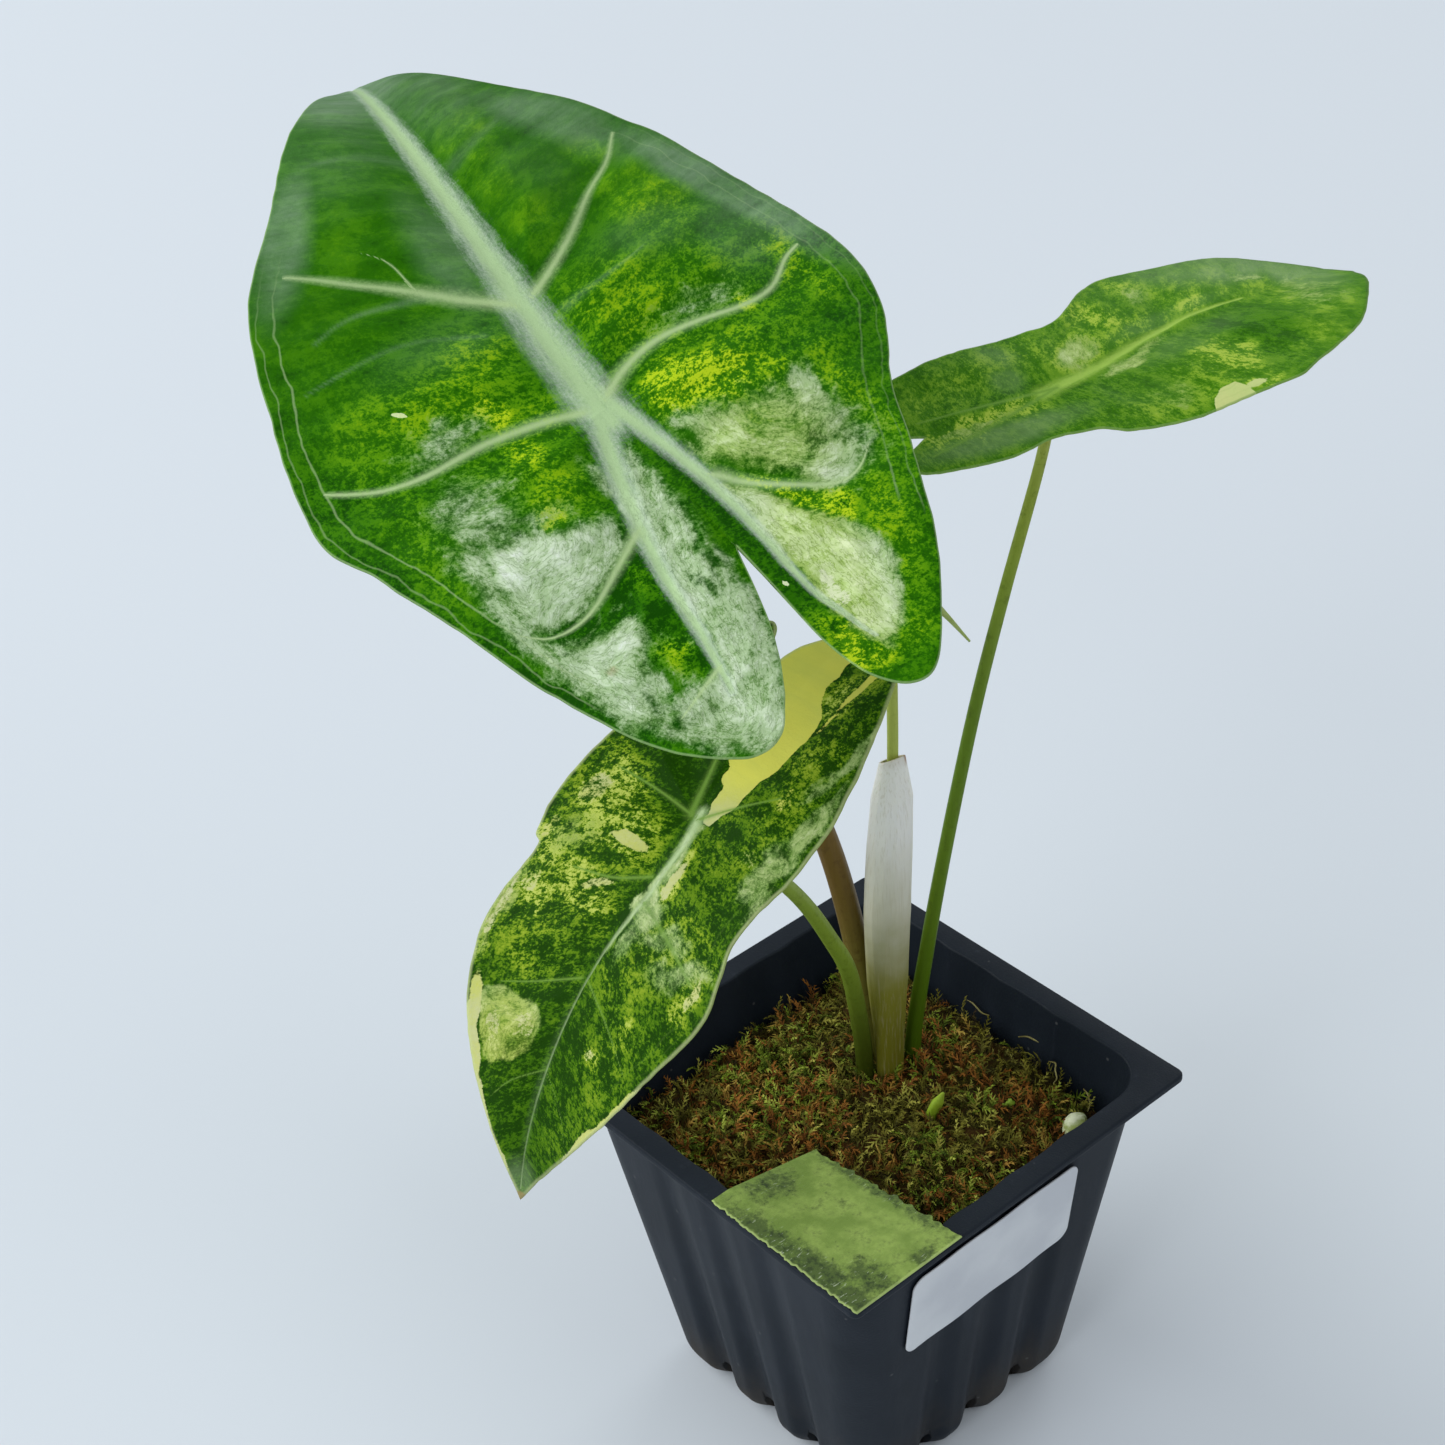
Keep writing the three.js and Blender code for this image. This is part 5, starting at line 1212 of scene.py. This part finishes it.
def sprigTree():
    group = bpy.data.node_groups.new("strewShoots", "GeometryNodeTree")
    for label, kind in (("Geometry", "Geometry"), ("Shoot", "Object"), ("Per square metre", "Float"),
                        ("Least size", "Float"), ("Most size", "Float"), ("Tilt", "Float"),
                        ("Where", "String"), ("Seed", "Int"), ("Finish", "Material")):
        group.interface.new_socket(name=label, in_out="INPUT", socket_type="NodeSocket" + kind)
    group.interface.new_socket(name="Geometry", in_out="OUTPUT", socket_type="NodeSocketGeometry")
    tree = Tree(group)
    given = tree.add("NodeGroupInput")
    where = tree.add("GeometryNodeInputNamedAttribute", {"data_type": "FLOAT"}, {"Name": given.also("Where")})
    points = tree.add("GeometryNodeDistributePointsOnFaces", {"distribute_method": "RANDOM"}, {
        "Mesh": given, "Density": given.also("Per square metre") * where, "Seed": given.also("Seed")})
    tilt = given.also("Tilt")
    fullTurn = 6.283
    turn = tree.add("FunctionNodeRandomValue", {"data_type": "FLOAT_VECTOR"}, {
        0: tree.join(0 - tilt, 0 - tilt), 1: tree.join(tilt, tilt, fullTurn), "Seed": given.also("Seed")})
    size = tree.add("FunctionNodeRandomValue", {"data_type": "FLOAT"}, {
        2: given.also("Least size"), 3: given.also("Most size"), "Seed": given.also("Seed") + 11}, 1)
    shoot = tree.add("GeometryNodeObjectInfo", {}, {"Object": given.also("Shoot")}, "Geometry")
    strewn = tree.add("GeometryNodeInstanceOnPoints", {}, {
        "Points": points, "Instance": shoot, "Rotation": turn, "Scale": size})
    shade = tree.add("FunctionNodeRandomValue", {"data_type": "FLOAT"}, {"Seed": given.also("Seed") + 23}, 1)
    shaded = tree.add("GeometryNodeStoreNamedAttribute", {"data_type": "FLOAT", "domain": "INSTANCE"}, {
        "Geometry": strewn, "Name": "shade", "Value": shade})
    real = tree.add("GeometryNodeRealizeInstances", {}, {"Geometry": shaded})
    dressed = tree.add("GeometryNodeSetMaterial", {}, {"Geometry": real, "Material": given.also("Finish")})
    tree.add("NodeGroupOutput", {}, {"Geometry": dressed})
    return group


def placesOf(mesh):  # its points in millimetres
    places = np.empty(len(mesh.vertices) * 3)
    mesh.vertices.foreach_get("co", places)
    return places.reshape(-1, 3) / mm


def keepInside(mesh):  # presses the shoots that reach a wall against it
    places = placesOf(mesh)
    share = places[:, 2:] / pot["height"]
    half = pot["wallBottom"] + (pot["wallTop"] - pot["wallBottom"]) * share - pot["wall"] - moss["wallPress"]
    corner = pot["cornerTop"]
    beyond = np.clip(np.abs(places[:, :2]) - (half - corner), 0, None)
    reach = np.maximum(np.linalg.norm(beyond, axis=1, keepdims=True), corner)
    away = np.minimum(np.abs(places[:, :2]), half - corner) + beyond * corner / reach
    places[:, :2] = np.sign(places[:, :2]) * away
    mesh.vertices.foreach_set("co", (places * mm).ravel())


def strew(name, tree, ground, values):
    holder = bpy.data.objects.new(name, ground.data.copy())
    bpy.context.scene.collection.objects.link(holder)
    strewing = holder.modifiers.new("strew", "NODES")
    strewing.node_group = tree
    for item in tree.interface.items_tree:
        if item.in_out == "INPUT" and item.name in values:
            strewing[item.identifier] = values[item.name]
    bpy.context.view_layer.update()
    bake(holder)
    shoots = holder.data
    keepInside(shoots)
    shoots.materials.clear()
    shoots.materials.append(values["Finish"])
    shoots.polygons.foreach_set("material_index", [0] * len(shoots.polygons))
    settle(holder, "moss")
    print(name, "has", len(shoots.polygons), "faces")


def shootSkin(name, low, high):
    def paint(tree):
        tip = tree.attribute("tip")
        shade = tree.attribute("shade")
        pale = tree.blend(0.5, high, tint(190, 190, 90))
        colour = tree.blend((tip * 0.8 + 0.5 * (shade - 0.5)).step(0.05, 1.0), low, high)
        colour = tree.blend((shade - 0.62).step(0.0, 0.3) * tip, colour, pale)
        return {"Base Color": colour, "Roughness": 0.75, "Specular IOR Level": 0.2}

    return finish(name, paint)


def growMoss():
    mat = drawMat()
    mesh = mat.data
    x, y, z = placesOf(mesh).T

    def patches(size, shiftX, shiftY, seed):
        return softNoise(x / size + shiftX, y / size + shiftY, seed)

    besideTape = np.clip((np.maximum(x - moss["tapeX"], y - moss["tapeY"]) + 1) / 2, 0, 1)
    inner = np.clip((moss["insideHalf"] - np.maximum(np.abs(x), np.abs(y))) / 1.6, 0, 1)
    # towards the back walls the coloured shoots thin out and dark shoots crowd in: painted shade under the
    # back of the rim
    back = np.clip((np.maximum(x, y) - 24) / 6, 0, 1)
    front = np.clip((8 - np.minimum(x, y)) / 20, 0, 1)
    clear = besideTape * inner * (z > moss["outlineZ"])
    lit = clear * (1 - 0.75 * back)
    rust = np.clip(0.30 + 0.3 * front + 1.9 * patches(6.5, 3, 5, 41) + 0.4 * patches(2.5, 0, 0, 42), 0, 1)
    fresh = np.clip(0.30 + 2.0 * patches(7.5, 9, 2, 43) + 0.4 * patches(3, 0, 0, 44), 0, 1)
    olive = np.clip(1.15 - 0.7 * rust - 0.4 * fresh, 0.15, 1)
    fields = {"rust": rust * lit, "fresh": fresh * lit, "olive": olive * lit, "dark": clear * (1 + 2 * back)}
    for key, values in fields.items():
        mesh.attributes.new(key, "FLOAT", "POINT").data.foreach_set("value", values.astype(np.float32))
    tree = sprigTree()
    for number, (name, kind) in enumerate(moss["kinds"].items()):
        density, least, most, tilt, low, high, where, form = kind
        skin = shootSkin(name, low, high)
        shoot = mossShoot(where, skin, *form)
        strew(name, tree, mat, {
            "Shoot": shoot, "Per square metre": density / mm ** 2, "Least size": least, "Most size": most,
            "Tilt": tilt, "Where": where, "Seed": moss["seed"] + 5 * number, "Finish": skin})
        bpy.data.objects.remove(shoot)


growMoss()


strays = {  # dry curled strands and fresh bits of leaf lying on the moss: places in millimetres
    "seed": 17, "joints": 4, "strands": {
        "places": [(33.0, -6.6, 62.0), (32.6, -14.6, 61.4), (32.0, -23.5, 60.6), (33.4, 1.0, 61.8)],
        "length": 6.5, "radii": [0.12, 0.17, 0.15, 0.06], "squeeze": 1.0, "bend": 1,
        "low": (104, 96, 50), "high": (134, 128, 80),
    }, "bits": {
        "places": [(7.8, 12.4, 62.3), (-1.0, 23.6, 60.8), (17.5, 3.5, 62.8), (-11.0, 9.0, 61.6),
                   (20.0, -18.0, 61.8)],
        "length": 2.4, "radii": [0.3, 0.7, 0.6, 0.15], "squeeze": 0.5, "bend": 0,
        "low": (98, 128, 30), "high": (136, 166, 56),
    },
}


def layStrays():
    random = np.random.default_rng(strays["seed"])
    for name in ("strands", "bits"):
        kind = strays[name]
        ahead = kind["length"] / strays["joints"]
        points, faces, along = [], [], []
        for x, y, z in kind["places"]:
            angle = random.uniform(0, 2 * math.pi)
            path = []
            for step in range(strays["joints"] + 1):
                path.append((x, y, z + 0.4 * random.uniform(-1, 1)))
                angle += random.uniform(-0.9, 0.9) * kind["bend"]
                x += math.cos(angle) * ahead
                y += math.sin(angle) * ahead
            rings, share = tubeRings(path, kind["radii"], 10, 26, kind["squeeze"])
            shape, sides = closedTube(rings)
            start = sum(len(part) for part in points)
            faces += [tuple(corner + start for corner in face) for face in sides]
            points.append(shape)
            along.append(np.concatenate([share, [0, 1]]))
        skin = stalkSkin(name + "Skin", kind["low"], kind["high"], kind["high"], kind["low"])
        piece = addMesh(name, np.vstack(points), faces, skin, {"along": np.concatenate(along)})
        settle(piece, "moss")
    print("strands and bits laid on the moss")


layStrays()


# Masking tape torn at both ends, stuck on the rim's front corner

tape = {
    "length": 24.5, "width": 35, "thickness": 0.22, "sag": 4.6, "lift": 0.06, "columns": 110, "rows": 150,
    "onRim": 3.6,  # how much of each side lies flat on the rim
    "wear": [(0.35, 0.05, 0.5, 0.13, 0, 1.0), (0.12, 0.3, 0.12, 0.12, 0, 0.8), (0.9, 0.45, 0.1, 0.2, 0, 0.7),
             (0.04, 0.67, 0.06, 0.08, 0, 0.8), (0.5, 0.96, 0.4, 0.06, 0, 0.7)],
}


def paintTape(tree):
    place = tree.place()
    wear = tree.attribute("wear")
    cut = tree.attribute("cut")
    crepe = tree.noise(tree.stretch(place, (700.0, 2900.0, 700.0)), 1.0, 4.0, 0.6)
    cloud = tree.noise(place, 190.0, 4.0, 0.62)
    blot = tree.noise(place, 620.0, 6.0, 0.75)
    colour = tree.blend(cloud.step(0.35, 0.65), tint(110, 136, 58), tint(140, 164, 80))
    stain = (0.55 * blot + 0.45 * cloud + 0.20 * wear).step(0.50, 0.70)
    colour = tree.blend(stain * 0.85, colour, tint(54, 74, 32))
    colour = tree.blend((blot + 0.12 * wear).step(0.62, 0.74) * 0.6, colour, tint(28, 42, 22))
    rubbed = (crepe - 0.2 * blot + 0.05 * wear).step(0.56, 0.62) * wear
    colour = tree.blend(rubbed * 0.5, colour, tint(204, 214, 190))
    colour = tree.blend(cut * 0.6, colour, tint(190, 212, 130))
    return {"Base Color": colour, "Roughness": 0.6 + 0.25 * crepe, "Specular IOR Level": 0.3,
            "Normal": tree.bump(crepe + 0.5 * blot, 0.00016, 0.9)}


def layTape():
    rows, columns = tape["rows"], tape["columns"]
    down, over = np.meshgrid(np.linspace(0, 1, rows + 1), np.linspace(0, 1, columns + 1), indexing="ij")
    y = tape["width"] * down - pot["rimHalf"]
    tearLow = 0.3 + 0.2 * softNoise(down * 34, down * 0, 51) + 0.15 * softNoise(down * 90, down * 0, 52)
    tearHigh = 0.6 + 0.5 * softNoise(down * 30, down * 0, 53) + 0.4 * np.abs(np.mod(down * 17, 1) - 0.5)
    x = tape["length"] * over - pot["rimHalf"] + tearLow * (1 - over) ** 6 - tearHigh * over ** 6
    inX = np.clip((x + pot["wallTop"] - 1) / (tape["length"] - tape["onRim"]), 0, 1.1)
    inY = np.clip((y + pot["wallTop"] - 1) / (tape["width"] - tape["onRim"]), 0, 1.1)
    ripple = 0.12 * softNoise(x / 4, y / 4, 55) * np.clip(inX * inY * 6, 0, 1)
    z = pot["height"] + tape["lift"] - tape["sag"] * inX * inY + ripple
    cut = np.clip(1.4 - np.minimum(down * tape["width"], over * tape["length"]) / 0.3, 0, 1)
    wear = patchField(np.column_stack([down.ravel(), over.ravel()]), tape["wear"])
    low = np.dstack([x, y, z]).reshape(-1, 3)
    high = low + (0, 0, tape["thickness"])
    count = (rows + 1) * (columns + 1)
    faces = gridFaces(rows + 1, columns + 1, closed=False, flip=True)
    faces += gridFaces(rows + 1, columns + 1, closed=False, start=count)
    index = np.arange(count).reshape(rows + 1, columns + 1)
    rim = list(index[0, :-1]) + list(index[:-1, -1]) + list(index[-1, :0:-1]) + list(index[:0:-1, 0])
    faces += [(int(b) + count, int(a) + count, int(a), int(b)) for a, b in zip(rim, rim[1:] + rim[:1])]
    piece = addMesh("maskingTape", np.vstack([low, high]), faces, finish("limeTape", paintTape),
                    {"wear": np.tile(wear, 2), "cut": np.tile(cut.ravel(), 2)})
    settle(piece, "tape")
    print("tape laid")


layTape()


# Paper label on the front wall

label = {
    "width": 40, "height": 20, "thickness": 0.3, "corner": 2.6, "middleX": -3.2, "topZ": 62, "edge": 0.12,
    "columns": 288,
}


def paintLabel(tree):
    place = tree.place()
    fibre = tree.noise(place, 1500.0, 4.0, 0.65)
    cloud = tree.noise(place, 60.0, 3.0, 0.5)
    colour = tree.blend(cloud.step(0.35, 0.65), tint(192, 196, 202), tint(205, 209, 213))
    colour = tree.blend(fibre.step(0.58, 0.75) * 0.2, colour, tint(176, 180, 186))
    return {"Base Color": colour, "Roughness": 0.5 + 0.12 * fibre, "Specular IOR Level": 0.4,
            "Normal": tree.bump(fibre + 3 * cloud, 0.00005, 0.6)}


def stickLabel():
    lean = math.atan((pot["wallTop"] - pot["wallBottom"]) / pot["height"])
    middleZ = label["topZ"] - label["height"] / 2 * math.cos(lean)
    wallHalf = pot["wallBottom"] + (pot["wallTop"] - pot["wallBottom"]) * middleZ / pot["height"]

    def outline(inset):
        x, y, r = label["width"] / 2 - inset, label["height"] / 2 - inset, label["corner"] - inset
        arcs = []
        for quarter, (sx, sy) in enumerate(((1, -1), (1, 1), (-1, 1), (-1, -1))):
            angle = -math.pi / 2 + quarter * math.pi / 2 + np.arange(10) / 9 * math.pi / 2
            arcs.append(np.column_stack([sx * (x - r) + r * np.cos(angle), sy * (y - r) + r * np.sin(angle)]))
        return evenPoints(np.vstack(arcs + [arcs[0][:1]]), label["columns"], endpoint=False)

    edge, thick = label["edge"], label["thickness"]
    layers = [(outline(0.0) * share, 0.0) for share in (0.2, 0.5, 0.8, 0.96)]
    layers += [(outline(0.0), 0.0), (outline(0.0), thick - edge), (outline(edge * 0.3), thick - edge * 0.3),
               (outline(edge), thick)]
    layers += [(outline(edge) * share, thick) for share in (0.95, 0.85, 0.7, 0.55, 0.4, 0.25, 0.1)]
    rings = []
    for flat, out in layers:
        u, v = flat.T
        bow = 0.08 * np.cos(u * 0.42) * (v / 10 - 0.2) + 0.12 * np.clip(np.abs(u) / 20 - 0.8, 0, 1) * (v > 0)
        away = out + bow.clip(-0.15, 0.4) + 0.1
        rings.append(np.column_stack([
            label["middleX"] + u, -wallHalf - 0.3 - away * math.cos(lean) - v * math.sin(lean),
            middleZ - away * math.sin(lean) + v * math.cos(lean)]))
    points, faces = closedTube(np.array(rings))
    piece = addMesh("paperLabel", points, faces, finish("labelPaper", paintLabel))
    settle(piece, "label")
    print("label stuck on")


stickLabel()


# Pebble and the fallen bit of leaf

pebble = {
    "x": 24.2, "y": -28.6, "radius": 2.5, "stretch": (1.12, 0.9, 0.75), "turn": 0.4, "lift": 0.84,
    "rows": 40, "columns": 64,
}


def paintPebble(tree):
    place = tree.place()
    cloud = tree.noise(place, 340.0, 4.0, 0.6)
    colour = tree.blend(cloud.step(0.4, 0.62), tint(150, 164, 88), tint(216, 222, 190))
    return {"Base Color": colour, "Roughness": 0.55 + 0.2 * cloud, "Specular IOR Level": 0.3,
            "Normal": tree.bump(cloud, 0.0003, 0.7)}


def placePebble():
    rows, columns, radius = pebble["rows"], pebble["columns"], pebble["radius"]
    tall = np.pi * (np.arange(1, rows) / rows)[:, None]
    turns = 2 * np.pi * (np.arange(columns) / columns)[None, :]
    shape = np.dstack([-np.sin(tall) * np.cos(turns), np.sin(tall) * np.sin(turns),
                       -np.cos(tall) * np.ones_like(turns)])
    lumps = 1 + 0.05 * np.sin(3 * shape[..., 0] + 2) * np.sin(4 * shape[..., 1])
    lumps += 0.03 * np.sin(7 * shape[..., 2] + 5 * shape[..., 0])
    shape = shape * lumps[..., None] * [radius * share for share in pebble["stretch"]]
    x, y, z = shape[..., 0], shape[..., 1], shape[..., 2]
    c, s = math.cos(pebble["turn"]), math.sin(pebble["turn"])
    middle = (pebble["x"], pebble["y"], float(mossHeight(pebble["x"], pebble["y"])) + radius * pebble["lift"])
    points, faces = closedTube(np.dstack([x * c - y * s, x * s + y * c, z])[:, ::-1] + middle)
    piece = addMesh("palePebble", points, faces, finish("paleStone", paintPebble))
    settle(piece, "pebble")


def flattened(along, turn):
    return 1 - 0.25 * np.abs(np.sin(turn)) ** 3 + 0 * along


footX, footY = 6.6, -10.6
footZ = float(mossHeight(footX, footY)) + 0.9
leafBit = {
    "name": "leafBit", "node": "leaf_bit", "slot": "young_green",
    "path": [(footX, footY, footZ - 1.2), (footX + 0.4, footY, footZ + 0.8),
             (footX + 1.4, footY - 0.2, footZ + 2.6), (footX + 2.6, footY - 0.4, footZ + 4.2)],
    "radii": [0.7, 1.5, 1.5, 0.35],
    "skin": stalkSkin("limeBit", (104, 134, 22), (134, 162, 38), (152, 178, 58), (106, 136, 28)),
}
placePebble()
drawStalk(leafBit, 24, 40, flattened, 0.7)
print("pebble and leaf bit placed")
